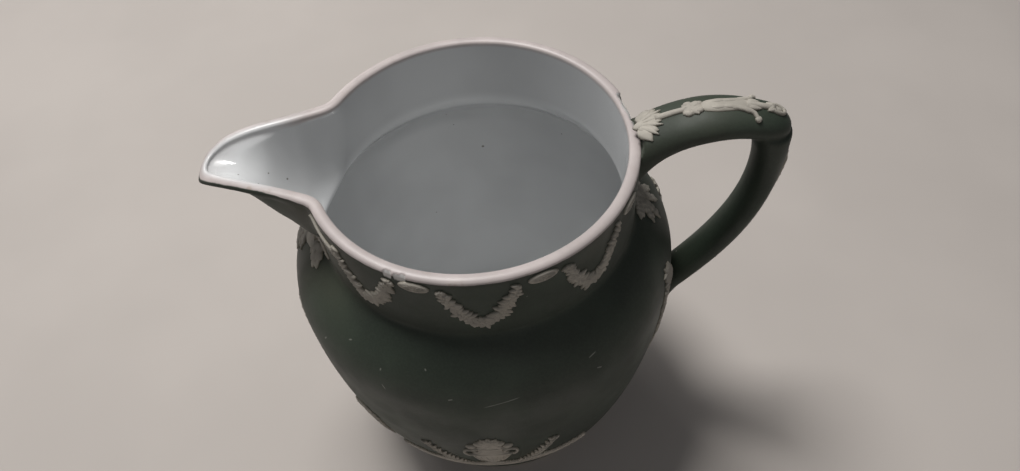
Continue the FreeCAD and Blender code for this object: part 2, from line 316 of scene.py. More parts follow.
# How far a chip cuts in at the lip's outer edge, how far down the outside it reaches,
# and how far across the lip its slope runs
CHIP_CUT = 0.9
CHIP_REACH = 2.6
CHIP_WIDTH = 0.6


def chip_depth(angle, across):
    """How deep the lip is chipped at an angle and a place across it, 0 outside and 1 inside."""
    degrees = np.degrees(angle)
    depth = np.zeros(np.broadcast(angle, across).shape)
    for middle, half, width, deep in CHIPS:
        off = (degrees - middle) / half
        scallop = width * (1 - 0.25 * off**2 + 0.06 * np.sin(off * 7 + middle))
        inside = ease(1 - np.abs(off), 0.0, 0.16) * ease(scallop - across, 0.0, 0.13)
        depth = np.maximum(depth, deep * inside * (1 + 0.12 * np.sin(off * 4.2)))
    return depth


# Where the vessel's columns stand closer than COLUMN_STEP: from, to and step, in degrees
COLUMN_STEP = 1.25
CLOSE_COLUMNS = ((156.5, 203.5, 0.33), (2.0, 25.0, 0.4), (237.0, 256.0, 0.4))
# Levels where the rows change their spacing: the bowl's rim, below the seam of the spout,
# and above the crease outside and inside
BOWL_LEVEL = 22.0
SEAM_LEVEL = 92.0
NECK_LEVEL = 107.0
NECK_LEVEL_INSIDE = 106.0
# On the spout the dip climbs this far onto the lip's outer edge, between these angles
DIP_CLIMB = 0.75
DIP_CLIMB_ANGLES = (14.0, 24.0)


def clay_columns():
    """Angles of the vessel's columns, closer together round the spout and the chips."""
    angles = list(np.arange(0.0, 360.0, COLUMN_STEP))
    for low, high, step in CLOSE_COLUMNS:
        angles = [a for a in angles if not low <= a <= high] + list(np.arange(low, high, step))
    return np.radians(np.sort(np.array(angles)))


def foot_profile(v):
    """Radii and levels from the middle of the underside to the foot's outer side."""
    inner, outer, recess = v.foot_radius - v.foot_ring_width, v.foot_radius, v.foot_recess
    return [
        (0.0, recess + 0.5), (inner * 0.5, recess + 0.35),
        (inner - 1.2, recess + 0.05), (inner - 0.5, recess - 0.15),
        (inner, recess - 0.7), (inner + 0.15, 0.35), (inner + 0.6, 0.0),
        (outer - 0.6, 0.0), (outer - 0.15, 0.35), (outer, 0.9),
        (outer, 2.2), (outer - 0.1, 3.6),
    ]


def bowl_profile(v):
    """Radii and levels from the bowl's rim to the middle of the floor inside."""
    wall = body_radius(v, np.array([BOWL_LEVEL, BOWL_LEVEL + 2]), -v.belly_wall)
    slope = (wall[1] - wall[0]) / 2
    corner = wall[0] - slope * (BOWL_LEVEL - v.floor_level)
    t = np.linspace(0, 1, 14)[1:]
    radii = wall[0] * (1 - t) ** 2 + corner * 2 * t * (1 - t) + 20.0 * t * t
    levels = BOWL_LEVEL * (1 - t) ** 2 + v.floor_level * 2 * t * (1 - t) + v.floor_level * t * t
    return list(zip(radii, levels)) + [(radius, v.floor_level) for radius in (14.0, 7.0, 0.0)]


def clay_surface(v):
    """The vessel and spout as one closed face: points, place, chip, rows by part and angles."""
    angle = clay_columns()[None, :]
    signed = (angle + math.pi) % (2 * math.pi) - math.pi
    turn = np.abs(signed) - math.pi
    lip_base = v.height - v.lip_round

    def edge(radius_of):
        level = np.full(angle.shape, lip_base)
        for _ in range(30):
            radius = radius_of(v, signed, level)
            level = lip_level(v, radius * np.cos(turn)) - v.lip_round
        return radius, level

    def follow_lip(levels, edge_level):
        """Rows of even levels, drawn down towards the spout's tip with the lip."""
        return levels - (lip_base - edge_level) * ease(levels, v.crease_level - 6, lip_base)

    def rings(pairs):
        radii = np.array([p[0] for p in pairs])[:, None] + 0 * angle
        levels = np.array([p[1] for p in pairs])[:, None] + 0 * angle
        return polar(signed + 0 * radii, radii, levels)

    outer_edge, outer_level = edge(outer_radius)
    inner_edge, inner_level = edge(inner_radius)
    levels = follow_lip(np.concatenate([
        np.linspace(v.foot_height, SEAM_LEVEL, 44, endpoint=False),
        np.linspace(SEAM_LEVEL, NECK_LEVEL, 22, endpoint=False),
        NECK_LEVEL + (lip_base - NECK_LEVEL) * np.linspace(0, 1, 30) ** 0.8,
    ])[:, None], outer_level)
    broken = chip_depth(signed, np.zeros((1, 1)))
    broken = broken * ease(levels, outer_level - CHIP_REACH, outer_level)
    outside = polar(signed, outer_radius(v, signed, levels) - CHIP_CUT * broken, levels)
    levels = follow_lip(np.concatenate([
        lip_base - (lip_base - NECK_LEVEL_INSIDE) * np.linspace(0, 1, 31, endpoint=False) ** 1.25,
        np.linspace(NECK_LEVEL_INSIDE, SEAM_LEVEL, 20, endpoint=False),
        np.linspace(SEAM_LEVEL, BOWL_LEVEL, 34),
    ])[:, None], inner_level)
    inside = polar(signed, inner_radius(v, signed, levels), levels)

    across = np.linspace(0, 1, 15)[1:-1, None]
    radius = outer_edge + (inner_edge - outer_edge) * (1 - np.cos(math.pi * across)) / 2
    crown = lip_level(v, radius * np.cos(turn))
    level = crown - v.lip_round * (1 - np.sin(math.pi * across) ** 0.8)
    chipped = chip_depth(signed, across)
    radius = radius - np.clip(CHIP_WIDTH - across, 0, 1) / CHIP_WIDTH * CHIP_CUT * chipped
    lip = polar(signed, radius, level - (0.3 + 2.1 * (CHIP_WIDTH - across)) * chipped)

    foot, bowl = rings(foot_profile(v)), rings(bowl_profile(v))
    # Distance up to the lip outside, across it, and down from it inside
    place = np.concatenate([
        np.full(foot.shape[:2], -v.height),
        outside[..., 2] - outer_level,
        np.repeat(across * v.neck_wall, angle.shape[1], 1),
        v.neck_wall + (inner_level - inside[..., 2]),
        np.full(bowl.shape[:2], v.height),
    ])
    place = place - DIP_CLIMB * (1 - ease(np.abs(np.degrees(turn)), *DIP_CLIMB_ANGLES))
    chip = np.concatenate([
        np.zeros(foot.shape[:2]), broken, chipped,
        np.zeros(inside.shape[:2]), np.zeros(bowl.shape[:2]),
    ])
    parts = (foot, outside, lip, inside, bowl)
    return np.concatenate(parts), place, chip, [len(part) for part in parts], angle[0]


# ---------------------------------------------------------------- meshes


def new_piece(name, points, faces, values, finish, nodes, normals=None, shaded=0):
    """Object from points in millimetres, in the frame, riding on the jug."""
    mesh = bpy.data.meshes.new(name)
    mesh.from_pydata((np.asarray(points) * MM).tolist(), [], faces)
    for label, data in values.items():
        layer = mesh.attributes.new(label, "FLOAT", "POINT")
        layer.data.foreach_set("value", np.asarray(data, np.float32))
    mesh.polygons.foreach_set("use_smooth", [True] * len(mesh.polygons))
    mesh.materials.append(finish)
    mesh.update()
    if normals is not None:
        corners = [normals[i] for face in mesh.polygons[:shaded] for i in face.vertices]
        corners += [face.normal for face in mesh.polygons[shaded:] for _ in face.vertices]
        mesh.normals_split_custom_set([tuple(corner) for corner in corners])
    piece = bpy.data.objects.new(name, mesh)
    bpy.context.scene.collection.objects.link(piece)
    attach(piece, BODY)
    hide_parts(*nodes)
    return piece


def surface_normals(points):
    """Outward normals of closed rows of points that start and end on the axis."""
    upward = np.gradient(points, axis=0)
    along = np.roll(points, -1, 1) - np.roll(points, 1, 1)
    normals = np.cross(along, upward)
    normals /= np.maximum(np.linalg.norm(normals, axis=-1, keepdims=True), 1e-9)
    normals[0], normals[-1] = (0, 0, -1), (0, 0, 1)
    return normals


# Half angle of the piece that the spout takes out of the neck and shoulder
SEAM_ANGLE = 23.4


def make_clay(context, name, nodes, is_spout):
    """Vessel or spout, cut from one surface and closed through the wall."""
    points, place, chip, counts, angle = clay_surface(measures(context))
    rows, columns = points.shape[:2]
    start_out, start_lip = counts[0], counts[0] + counts[1]
    start_in = start_lip + counts[2]
    window = np.nonzero(np.abs(np.degrees(angle) - 180.0) <= SEAM_ANGLE)[0]
    first, last = window[0], window[-1]
    above_seam = points[start_out:start_lip, 0, 2] >= SEAM_LEVEL
    low_out = start_out + int(np.nonzero(above_seam)[0][0])
    low_in = start_in + (start_lip - 1 - low_out)
    number = np.arange(rows * columns).reshape(rows, columns)
    number[0], number[-1] = number[0, 0], number[-1, 0]
    faces = []
    for row in range(rows - 1):
        for column in range(columns):
            if (low_out <= row < low_in and first <= column < last) != is_spout:
                continue
            beside = (column + 1) % columns
            face = (*number[row, (column, beside)], *number[row + 1, (beside, column)])
            faces.append(tuple(dict.fromkeys(int(i) for i in face)))
    shaded = len(faces)
    cut = [
        (*number[low_out, (c, c + 1)], *number[low_in, (c + 1, c)]) for c in range(first, last)
    ]
    for column, turn in ((first, 1), (last, -1)):
        for step in range(start_lip - 1 - low_out):
            out, inner = low_out + step, low_in - step
            cut.append(tuple(number[(out, inner, inner - 1, out + 1), column])[::turn])
        cut.append(tuple(number[start_lip - 1 : start_in + 1, column])[::-turn])
    faces += [tuple(int(i) for i in (face[::-1] if is_spout else face)) for face in cut]
    used = np.unique(np.concatenate([np.array(face) for face in faces]))
    renumber = np.full(rows * columns, -1)
    renumber[used] = np.arange(len(used))
    faces = [tuple(int(renumber[i]) for i in face) for face in faces]
    values = {"lip_place": place.ravel()[used], "chip": chip.ravel()[used]}
    normals = surface_normals(points).reshape(-1, 3)[used]
    points = points.reshape(-1, 3)[used]
    finish = vessel_finish(context)
    return new_piece(name, points, faces, values, finish, nodes, normals, shaded)


# ---------------------------------------------------------------- handle


# Inner controls of the limbs' lines: shares of their run out or in, and of the rise or drop
UPPER_SHARES = ((0.15, 0.66), (0.6, 1.0))
LOWER_SHARES = ((1.075, 0.45), (0.6, 0.67))
# How far the ends' lines reach into the clay, and the drops of the root, the thumb end and
# the foot of the handle below the lip
ROOT_SINK = 4.0
ROOT_DROP = 8.5
END_DROP = 2.0
FOOT_DROP = 71.5
THUMB_OVERHANG = 1.7
# Extra thickness at the root, at the corner and at the foot
ROOT_FLARE = 2.8
CORNER_FLARE = 1.4
FOOT_FLARE = 1.6
# The upper limb narrows towards the thumb end and closes there, at these shares of its line
THUMB_TAPER = 0.24
THUMB_CLOSE = 0.79
THUMB_CLOSE_RUN = 0.15
UPPER_END = 0.938


def limb_controls(v):
    """Controls of the two limbs' centre lines, as (radius, level) pairs."""
    upper = [(v.neck_radius - ROOT_SINK, v.height - ROOT_DROP)]
    run = v.handle_reach - v.neck_radius
    upper += [(v.neck_radius + run * x, v.height + v.handle_rise * up) for x, up in UPPER_SHARES]
    upper.append((v.handle_reach, v.height - END_DROP))
    top = v.handle_reach - THUMB_OVERHANG - v.lower_half_thickness
    run = top - v.belly_radius
    lower = [(top, v.height)]
    lower += [(v.belly_radius + run * x, v.height - FOOT_DROP * down) for x, down in LOWER_SHARES]
    lower.append((v.belly_radius - ROOT_SINK, v.height - FOOT_DROP))
    return np.array(upper), np.array(lower)


def bezier(controls, share):
    """Places and unit directions on a cubic curve."""
    t = np.asarray(share, float)[..., None]
    r = 1 - t
    a, b, c, d = controls
    place = a * r**3 + b * 3 * r * r * t + c * 3 * r * t * t + d * t**3
    slope = (b - a) * r * r + (c - b) * 2 * r * t + (d - c) * t * t
    return place, slope / np.linalg.norm(slope, axis=-1, keepdims=True)


def upper_half(v, share):
    """Half width, half thickness and shift off its line of the upper limb."""
    share = np.asarray(share, float)
    flare = ROOT_FLARE * (1 - share) ** 4
    close = (1 - np.clip((share - THUMB_CLOSE) / THUMB_CLOSE_RUN, 0, 0.985) ** 2.4) ** 0.4
    taper = 1 - THUMB_TAPER * ease(share, 0.45, 0.9)
    wide = (v.upper_half_width + flare / 2) * close * taper
    return wide, (v.upper_half_thickness + flare) * close, 0 * share


def lower_half(v, share):
    """Half width, half thickness and shift off its line of the lower limb."""
    share = np.asarray(share, float)
    flare = CORNER_FLARE * (1 - share) ** 8
    foot = FOOT_FLARE * ease(share, 0.86, 1.0)
    return v.lower_half_width + foot, v.lower_half_thickness + flare + foot, -flare


def limb_tube(controls, halves, v, sides, share):
    """Closed tube of oval sections along a limb."""
    steps = len(share)
    place, way = bezier(controls, share)
    wide, thick, shift = halves(v, share)
    around = np.linspace(0, 2 * math.pi, sides, endpoint=False)
    out = thick[:, None] * np.sin(around) + shift[:, None]
    x = place[:, :1] - out * way[:, 1:]
    z = place[:, 1:] + out * way[:, :1]
    y = wide[:, None] * np.cos(around)
    points = np.stack([x, y, z], -1).reshape(-1, 3)
    faces = []
    for step in range(steps - 1):
        for side in range(sides):
            a, b = step * sides + side, step * sides + (side + 1) % sides
            faces.append((a, a + sides, b + sides, b))
    faces.append(tuple(range(sides)))
    faces.append(tuple(range((steps - 1) * sides, steps * sides))[::-1])
    return points, faces


def limb_distance(points, controls, halves, v):
    """Rough distance of points from a limb's face, below zero inside."""
    share = np.linspace(0, 1, 160)
    place, way = bezier(controls, share)
    wide, thick, shift = halves(v, share)
    found = np.empty(len(points))
    batch = 4000
    for start in range(0, len(points), batch):
        p = points[start : start + batch]
        gap = p[:, None, (0, 2)] - place[None]
        near = np.argmin((gap**2).sum(-1), 1)
        pick = gap[np.arange(len(p)), near]
        out = -pick[:, 0] * way[near, 1] + pick[:, 1] * way[near, 0] - shift[near]
        a, b, y = wide[near], thick[near], p[:, 1]
        ring = np.sqrt((y / a) ** 2 + (out / b) ** 2) + 1e-6
        slope = np.sqrt(y * y / a**4 + out * out / b**4) / ring + 1e-6
        found[start : start + batch] = (ring - 1) / slope
    return found


# Grain of the joined skin, the fillet between the limbs at the corner's outside and inside,
# the distances from the axis where it changes, and how deep the ends sit in the wall
SKIN_GRAIN = 0.42
CORNER_FILLET = 1.2
INNER_FILLET = 4.3
FILLET_FROM, FILLET_TO = 71.0, 79.0
END_DEPTH = 1.3


def make_handle(context):
    """Both limbs joined in one skin with a soft corner, ends sunk in the wall."""
    v = measures(context)
    upper, lower = limb_controls(v)
    points, faces = limb_tube(upper, upper_half, v, 56, np.linspace(0, UPPER_END, 90))
    more, more_faces = limb_tube(lower, lower_half, v, 48, np.linspace(0, 1, 90))
    faces += [tuple(i + len(points) for i in f) for f in more_faces]
    points = np.concatenate([points, more])
    finish = dip_finish(context)
    piece = new_piece("handle_skin", points, faces, {}, finish, ["handle"])
    remesh = piece.modifiers.new("one_skin", "REMESH")
    remesh.mode = "VOXEL"
    remesh.voxel_size = SKIN_GRAIN * MM
    smooth = piece.modifiers.new("fettled", "SMOOTH")
    smooth.factor = 0.6
    smooth.iterations = 9
    apply_modifiers(piece)
    mesh = piece.data
    count = len(mesh.vertices)
    found, normals = np.empty(count * 3), np.empty(count * 3)
    mesh.vertices.foreach_get("co", found)
    mesh.vertices.foreach_get("normal", normals)
    found, normals = found.reshape(-1, 3) / MM, normals.reshape(-1, 3)
    other = np.maximum(
        limb_distance(found, upper, upper_half, v), limb_distance(found, lower, lower_half, v)
    )
    soft = CORNER_FILLET + INNER_FILLET * (1 - ease(found[:, 0], FILLET_FROM, FILLET_TO))
    under = 1 - ease(found[:, 2], v.height - 6, v.height - 2)
    swell = under * soft / 4 * np.clip(1 - np.abs(other) / soft, 0, 1) ** 2
    found += normals * swell[:, None]
    # The ends stop inside the wall of the neck and of the belly
    radius = np.hypot(found[:, 0], found[:, 1])
    stop = body_radius(v, found[:, 2], 0.0) - END_DEPTH
    grow = np.where(radius < stop, stop / np.maximum(radius, 1e-6), 1.0)
    found[:, :2] *= grow[:, None]
    under_lip = np.minimum(found[:, 2], v.height - 0.9)
    found[:, 2] = np.where(radius < v.neck_radius + 0.4, under_lip, found[:, 2])
    mesh.vertices.foreach_set("co", (found * MM).ravel())
    mesh.update()
    mesh.polygons.foreach_set("use_smooth", [True] * len(mesh.polygons))
    return piece


def apply_modifiers(piece):
    """Keeps the modified mesh as the piece's own."""
    depsgraph = bpy.context.evaluated_depsgraph_get()
    made = bpy.data.meshes.new_from_object(piece.evaluated_get(depsgraph), depsgraph=depsgraph)
    piece.modifiers.clear()
    piece.data = made


# ---------------------------------------------------------------- sprigs


# Places across a blade and the height of its crown there, round or flat topped
CROSS = np.array([-1.0, -0.84, -0.45, 0.0, 0.45, 0.84, 1.0])
ROUND_CROWN = np.array([0, 0.55, 0.93, 1, 0.93, 0.55, 0])
FLAT_CROWN = np.array([0, 0.86, 1, 1, 1, 0.86, 0])
MIDRIB = np.array([0, 0, 0, 1, 0, 0, 0])
# How far a blade's edges sink into the clay
SINK = 0.35


class Sprig:
    """Blades, beads and stems of one press-moulded relief, on its flat pattern."""

    def __init__(self):
        self.points, self.faces, self.count = [], [], 0

    def blade(self, path, half, rise, groove=0.0, square=False):
        """Tapered ridge along a path of (across, up) places, half widths and heights."""
        path, half = np.asarray(path, float), np.asarray(half, float)
        rise = np.broadcast_to(np.asarray(rise, float), half.shape)
        way = np.gradient(path, axis=0)
        way /= np.maximum(np.linalg.norm(way, axis=1, keepdims=True), 1e-9)
        side = np.stack([way[:, 1], -way[:, 0]], 1)
        flat = path[:, None] + side[:, None] * (half[:, None] * CROSS)[..., None]
        crown = FLAT_CROWN if square else ROUND_CROWN
        up = rise[:, None] * (crown - groove * MIDRIB)
        up[:, (0, -1)] = -SINK
        sheet = np.concatenate([flat, up[..., None]], -1)
        rows, columns = sheet.shape[:2]
        start = self.count
        self.points.append(sheet.reshape(-1, 3))
        self.count += rows * columns
        for row in range(rows - 1):
            for column in range(columns - 1):
                a = start + row * columns + column
                self.faces.append((a, a + columns, a + columns + 1, a + 1))
            a = start + row * columns
            self.faces.append((a, a + columns - 1, a + 2 * columns - 1, a + columns))
        self.faces.append(tuple(start + c for c in range(columns)))
        end = start + (rows - 1) * columns
        self.faces.append(tuple(end + c for c in range(columns))[::-1])

    def leaf(self, base, angle, size, half, rise, groove=0.35, bend=0.0, steps=7):
        """Pointed leaf from its base, at an angle in degrees from the pattern's right."""
        t = np.linspace(0, 1, steps)
        turn = np.radians(angle + bend * t)
        run = np.stack([np.cos(turn), np.sin(turn)], 1) * size / (steps - 1)
        path = np.asarray(base, float) + np.concatenate([[[0, 0]], np.cumsum(run[:-1], 0)])
        wide = half * np.clip(np.sin(math.pi * np.clip(t, 0, 1) ** 0.8) ** 0.75, 0.12, 1)
        tall = rise * np.clip(0.55 + 0.6 * np.sin(math.pi * t**0.7), 0.4, 1.15)
        self.blade(path, wide, tall, groove)

    def bead(self, place, radius, rise, tall=1.0):
        """Round or oval boss."""
        t = np.linspace(-1, 1, 7)
        path = np.asarray(place, float) + t[:, None] * (radius * tall, 0.0)
        dome = np.sqrt(np.clip(1 - (t * 0.985) ** 2, 0, 1))
        self.blade(path, radius * dome, rise * (0.35 + 0.65 * dome))

    def made(self, name, mapper, finish, nodes):
        """The sprig's piece, laid on the clay by its mapper."""
        flat = np.concatenate(self.points)
        relief = np.clip(flat[:, 2], 0, None)
        laid = mapper(flat[:, 0], flat[:, 1], flat[:, 2])
        values = {"relief": relief}
        return new_piece(name, laid, self.faces, values, finish, nodes)


# Sprigs stay this far below the lip
UNDER_LIP = 1.25


def on_clay(v, middle, radius):
    """Mapper onto the clay's outside: across and level, about an angle in degrees."""

    def lay(across, level, off):
        angle = math.radians(middle) + across / radius
        angle = (angle + math.pi) % (2 * math.pi) - math.pi
        small = 0.2

        def at(a, z):
            return polar(a, outer_radius(v, a, z), z)

        level = np.minimum(level, v.height - UNDER_LIP)
        here = at(angle, level)
        side = at(angle + small / radius, level) - here
        down = here - at(angle, level - small)
        normal = np.cross(side, down)
        normal /= np.maximum(np.linalg.norm(normal, axis=1, keepdims=True), 1e-9)
        return here + normal * off[:, None]

    return lay


def on_limb(v, controls, halves, along_of):
    """Mapper onto a limb's outer face: place across and place along its line."""
    shares = np.linspace(0, 1, 400)
    runs = along_of(bezier(controls, shares)[0])

    def lay(across, along, off):
        share = np.interp(along, runs, shares)
        place, way = bezier(controls, share)
        wide, thick, shift = halves(v, share)
        sine = np.clip(across / wide, -0.98, 0.98)
        rise = thick * np.sqrt(1 - sine**2)
        y = wide * sine
        slope_y, slope_n = y / wide**2, rise / thick**2
        size = np.hypot(slope_y, slope_n)
        out = rise + shift + off * slope_n / size
        x, z = place[:, 0] - out * way[:, 1], place[:, 1] + out * way[:, 0]
        return np.stack([x, y + off * slope_y / size, z], 1)

    return lay


def on_upper_limb(v):
    """Mapper onto the top of the upper limb: distance from the axis and place across."""
    lay = on_limb(v, limb_controls(v)[0], upper_half, lambda place: place[:, 0])
    return lambda distance, across, off: lay(across, distance, off)


def on_lower_limb(v):
    """Mapper onto the outer face of the lower limb: place across and drop below the lip."""
    return on_limb(v, limb_controls(v)[1], lower_half, lambda place: v.height - place[:, 1])


# Middles of the paterae and of the garlands round each side, and a garland's half width,
# the drop of its ends below the lip and of its lowest place below them
PATERA_ANGLES = (27.0, 67.0, 107.0)
SWAG_ANGLES = (47.0, 87.0, 127.0)
SWAG_HALF = 9.2
SWAG_TOP = 3.4
SWAG_DROP = 13.2
# Steps between a garland's leaves, their length, half width and angles off its line
SWAG_STEP = 1.3
SWAG_LEAF = 2.9
SWAG_LEAF_HALF = 0.8
SWAG_SPREADS = (-58, 58, -22, 22)


def swag_sprig(v, seed, tail=0):
    """Garland of small overlapping leaves between two paterae; tail is the side of its tail."""
    sprig = Sprig()
    random = np.random.default_rng(seed)
    share = np.linspace(-1, 1, 45)
    hang = SWAG_DROP * (1 - np.abs(share) ** 1.9)
    line = np.stack([SWAG_HALF * share, v.height - SWAG_TOP - hang], 1)
    sprig.blade(line, 1.15 * np.clip(1.1 - share**8, 0.3, 1), v.sprig_relief * 0.66)
    steps = np.linalg.norm(np.diff(line, axis=0), axis=1)
    along_line = np.concatenate([[0], np.cumsum(steps)])
    total = along_line[-1]

    def at(along):
        return np.array([np.interp(along, along_line, line[:, axis]) for axis in (0, 1)])

    for side in (-1, 1):
        for run in np.arange(0.3, total / 2 + 0.5, SWAG_STEP):
            along = run if side < 0 else total - run
            place, ahead = at(along), at(along - side * 0.4)
            way = math.degrees(math.atan2(ahead[1] - place[1], ahead[0] - place[0]))
            full = 0.62 + 0.42 * math.sin(math.pi * min(run / total, 0.5))
            for spread in SWAG_SPREADS:
                angle = way + spread + random.uniform(-22, 22)
                rise = v.sprig_relief * random.uniform(0.74, 1.0)
                long = SWAG_LEAF * full * random.uniform(0.72, 1.2)
                half = SWAG_LEAF_HALF * full
                sprig.leaf(place, angle, long, half, rise, groove=0.25, bend=spread * 0.3)
    if not tail:
        return sprig

    def tail_at(share):
        level = v.height - 6.6 + 3.0 * share - 1.3 * np.sin(math.pi * share)
        return np.stack([tail * (7.4 + 14.2 * share), level], -1)

    sprig.blade(tail_at(np.linspace(0, 1, 40)), np.full(40, 0.42), v.sprig_relief * 0.8)
    for run in np.linspace(0.04, 0.5, 8):
        for spread in (-38, 38):
            angle = 90 - tail * 90 + spread
            sprig.leaf(tail_at(run), angle, 2.3 - 1.6 * run, 0.55, v.sprig_relief * 0.9)
    return sprig


PATERA_HALF_WIDTH = 3.85
PATERA_HALF_HEIGHT = 1.7
PATERA_DROP = 3.4
PETALS = 14


def patera_sprig(v):
    """Oval rosette with a raised rim and small petals."""
    sprig = Sprig()
    middle = v.height - PATERA_DROP
    t = np.linspace(-1, 1, 15)
    path = np.stack([PATERA_HALF_WIDTH * t, middle + 0 * t], 1)
    oval = np.sqrt(np.clip(1 - (t * 0.99) ** 2, 0, 1))
    rise = v.sprig_relief * 0.72 * (0.5 + 0.5 * oval)
    sprig.blade(path, PATERA_HALF_HEIGHT * oval, rise, square=True)
    for petal in range(PETALS):
        turn = 2 * math.pi * petal / PETALS
        root = (0.9 * math.cos(turn), middle + 0.35 * math.sin(turn))
        tip = (3.3 * math.cos(turn), middle + 1.4 * math.sin(turn))
        angle = math.degrees(math.atan2(tip[1] - root[1], tip[0] - root[0]))
        size = math.hypot(tip[0] - root[0], tip[1] - root[1])
        sprig.leaf(root, angle, size, 0.24, v.sprig_relief * 0.9, groove=0.15, steps=6)
    sprig.bead((0, middle), 0.6, v.sprig_relief, tall=1.5)
    return sprig


def frond(sprig, base, angle, size, half, rise, lobes):
    """Lobed leaf: a broad midrib leaf with overlapping side lobes along both its edges."""
    turn = math.radians(angle)
    way = np.array([math.cos(turn), math.sin(turn)])
    sprig.leaf(base, angle, size, half * 0.8, rise * 0.86, groove=0.4)
    for lobe in range(lobes):
        share = (lobe + 0.35) / lobes
        root = np.asarray(base) + way * size * share * 0.78
        long = half * (1.35 - 0.4 * share)
        tall = rise * (0.97 - 0.1 * share)
        for side in (-1, 1):
            lean = angle + side * (50 - 14 * share)
            sprig.leaf(root, lean, long, half * 0.42, tall, groove=0.3, bend=-side * 18)


# Radius at which the sprigs of the shoulder are laid out
SHOULDER_RADIUS = 50.0
# Leaves of the spout's collar: level, length and angle
COLLAR_LEAVES = (
    (110.4, 5.6, 2), (107.2, 8.0, -6), (103.9, 9.6, -16), (101.2, 9.2, -32), (99.4, 8.0, -56)
)
# Lobes of the fan under the handle's root: angle and length
FAN_LOBES = ((-170, 7.9), (-10, 7.9), (-140, 7.9), (-40, 7.9), (-112, 8.0), (-68, 8.0))


def spout_root_line(v, levels):
    """Places across where the spout's sides leave the neck and shoulder."""
    turns = np.linspace(0.01, 0.62, 600)
    across = []
    for level in levels:
        there = np.full_like(turns, level)
        gap = spout_radius(v, turns, there, 0.0) - body_radius(v, there, 0.0)
        across.append(turns[np.argmin(np.abs(gap))] * SHOULDER_RADIUS)
    return np.array(across)


def spout_leaf_sprig(v):
    """Collar of broad leaves on the shoulder round the spout's root."""
    sprig = Sprig()
    levels = np.linspace(113.0, 98.6, 12)
    across = spout_root_line(v, levels)
    half = np.stack([across + 1.0, levels - 1.0], 1)
    line = np.concatenate([half * (-1, 1), [(0.0, 96.4)], half[::-1]])
    wide = np.interp(np.abs(line[:, 0]), (0, 14, 20), (1.9, 2.2, 0.8))
    sprig.blade(line, wide, v.sprig_relief * 0.7, groove=0.25)
    for level, size, lean in COLLAR_LEAVES:
        side_across = float(spout_root_line(v, [level])[0])
        for side in (-1, 1):
            angle = lean if side > 0 else 180 - lean
            base = (side * (side_across - 0.2), level)
            frond(sprig, base, angle, size, 2.7, v.sprig_relief, 3)
    frond(sprig, (0.0, 98.8), -90, 6.0, 3.0, v.sprig_relief, 3)
    return sprig


def root_leaf_sprig(v):
    """Fan of lobes on the shoulder under the handle's root."""
    sprig = Sprig()
    for angle, size in FAN_LOBES:
        frond(sprig, (0.016 * (angle + 90), 104.6), angle, size, 1.75, v.sprig_relief, 4)
    sprig.bead((0, 103.9), 1.6, v.sprig_relief)
    return sprig


# Half spread of a tree's crown, as a share, from its lowest to its highest tuft
CROWN_HEIGHTS = (0, 0.28, 0.6, 0.88, 1.0)
CROWN_SPREADS = (0.3, 0.92, 1.0, 0.6, 0.15)
TUFT_ANGLES = (-68, -28, 12, 50, 92)
TREE_LEAF = 3.0


def tree_sprig(v, base, top, half, seed):
    """Tree on its own ground, with a leaning trunk and a leafy crown."""
    sprig = Sprig()
    relief = v.sprig_relief
    random = np.random.default_rng(seed)
    tall = top - base
    share = np.linspace(0, 1, 16)
    lean = half * 0.16 * np.sin(share * 5.0)
    trunk = np.stack([lean, base + tall * 0.9 * share], 1)
    sprig.blade(trunk, np.interp(share, (0, 0.1, 0.4, 1), (1.7, 1.15, 0.9, 0.35)), relief * 0.85)
    for side in (-1, 1):
        angle = 90 + side * 78
        sprig.leaf((0, base + 0.6), angle, half * 0.7, 0.9, relief * 0.7, bend=side * 8)
    count = int(tall * half / 7.5)
    for number in range(count):
        up = (number + 0.5) / count
        level = base + tall * (0.2 + 0.76 * up)
        spread = half * np.interp(up, CROWN_HEIGHTS, CROWN_SPREADS) * 0.84
        side = -1 if number % 2 else 1
        place = side * random.uniform(0.15, 1.0) * spread
        middle = np.interp(up, share, lean)
        centre = np.array([middle + place, level])
        limb = np.array([[middle, level - 2.2], (centre + [middle, level]) / 2, centre])
        sprig.blade(limb, [0.5, 0.4, 0.3], relief * 0.6)
        aim = math.degrees(math.atan2(1.4 + 2.0 * up, place))
        for turn in TUFT_ANGLES:
            angle = aim + turn + random.uniform(-14, 14)
            size = TREE_LEAF * random.uniform(0.8, 1.1)
            way = math.radians(angle)
            tip = centre + size * np.array([math.cos(way), math.sin(way)])
            if abs(tip[0]) > half * 1.02 or tip[1] > top:
                size *= 0.55
            rise = relief * random.uniform(0.75, 1.0)
            sprig.leaf(centre, angle, size, TREE_LEAF * 0.26, rise, bend=turn * 0.2)
    return sprig


# Levels of the ground strip's lower and upper edge, and of what stands on it
GROUND = 35.5
GROUND_TOP = 40.1
STANDING = 37.8
GROUND_HALF_ANGLE = 34.0
GRASS_BLADES = 50
# Urn above its ground, with its foot, knop, bowl, neck and rim
URN_LEVELS = (
    0, 0.6, 1.4, 2.0, 3.4, 4.6, 5.4, 6.4, 8.5, 11.5, 14.5, 16.4, 17.6, 19.2, 20.6, 21.4, 22.2
)
URN_HALVES = (
    4.4, 4.4, 4.0, 2.6, 1.3, 1.15, 1.9, 3.0, 5.2, 6.6, 6.9, 6.2, 4.6, 3.9, 4.4, 5.4, 5.4
)
URN_BARS = (1.4, 5.4, 15.6, 21.8)
FLOWER_LEAVES = (188, 164, 140, 115, 90, 65, 40, 16, -8)
# Flowers: place across, level and radius
FLOWERS = (
    (-5.4, 23.6, 1.5), (5.4, 23.6, 1.5), (0.0, 23.8, 1.9),
    (-3.0, 26.0, 1.5), (3.1, 26.1, 1.5), (0.0, 28.0, 1.3),
)
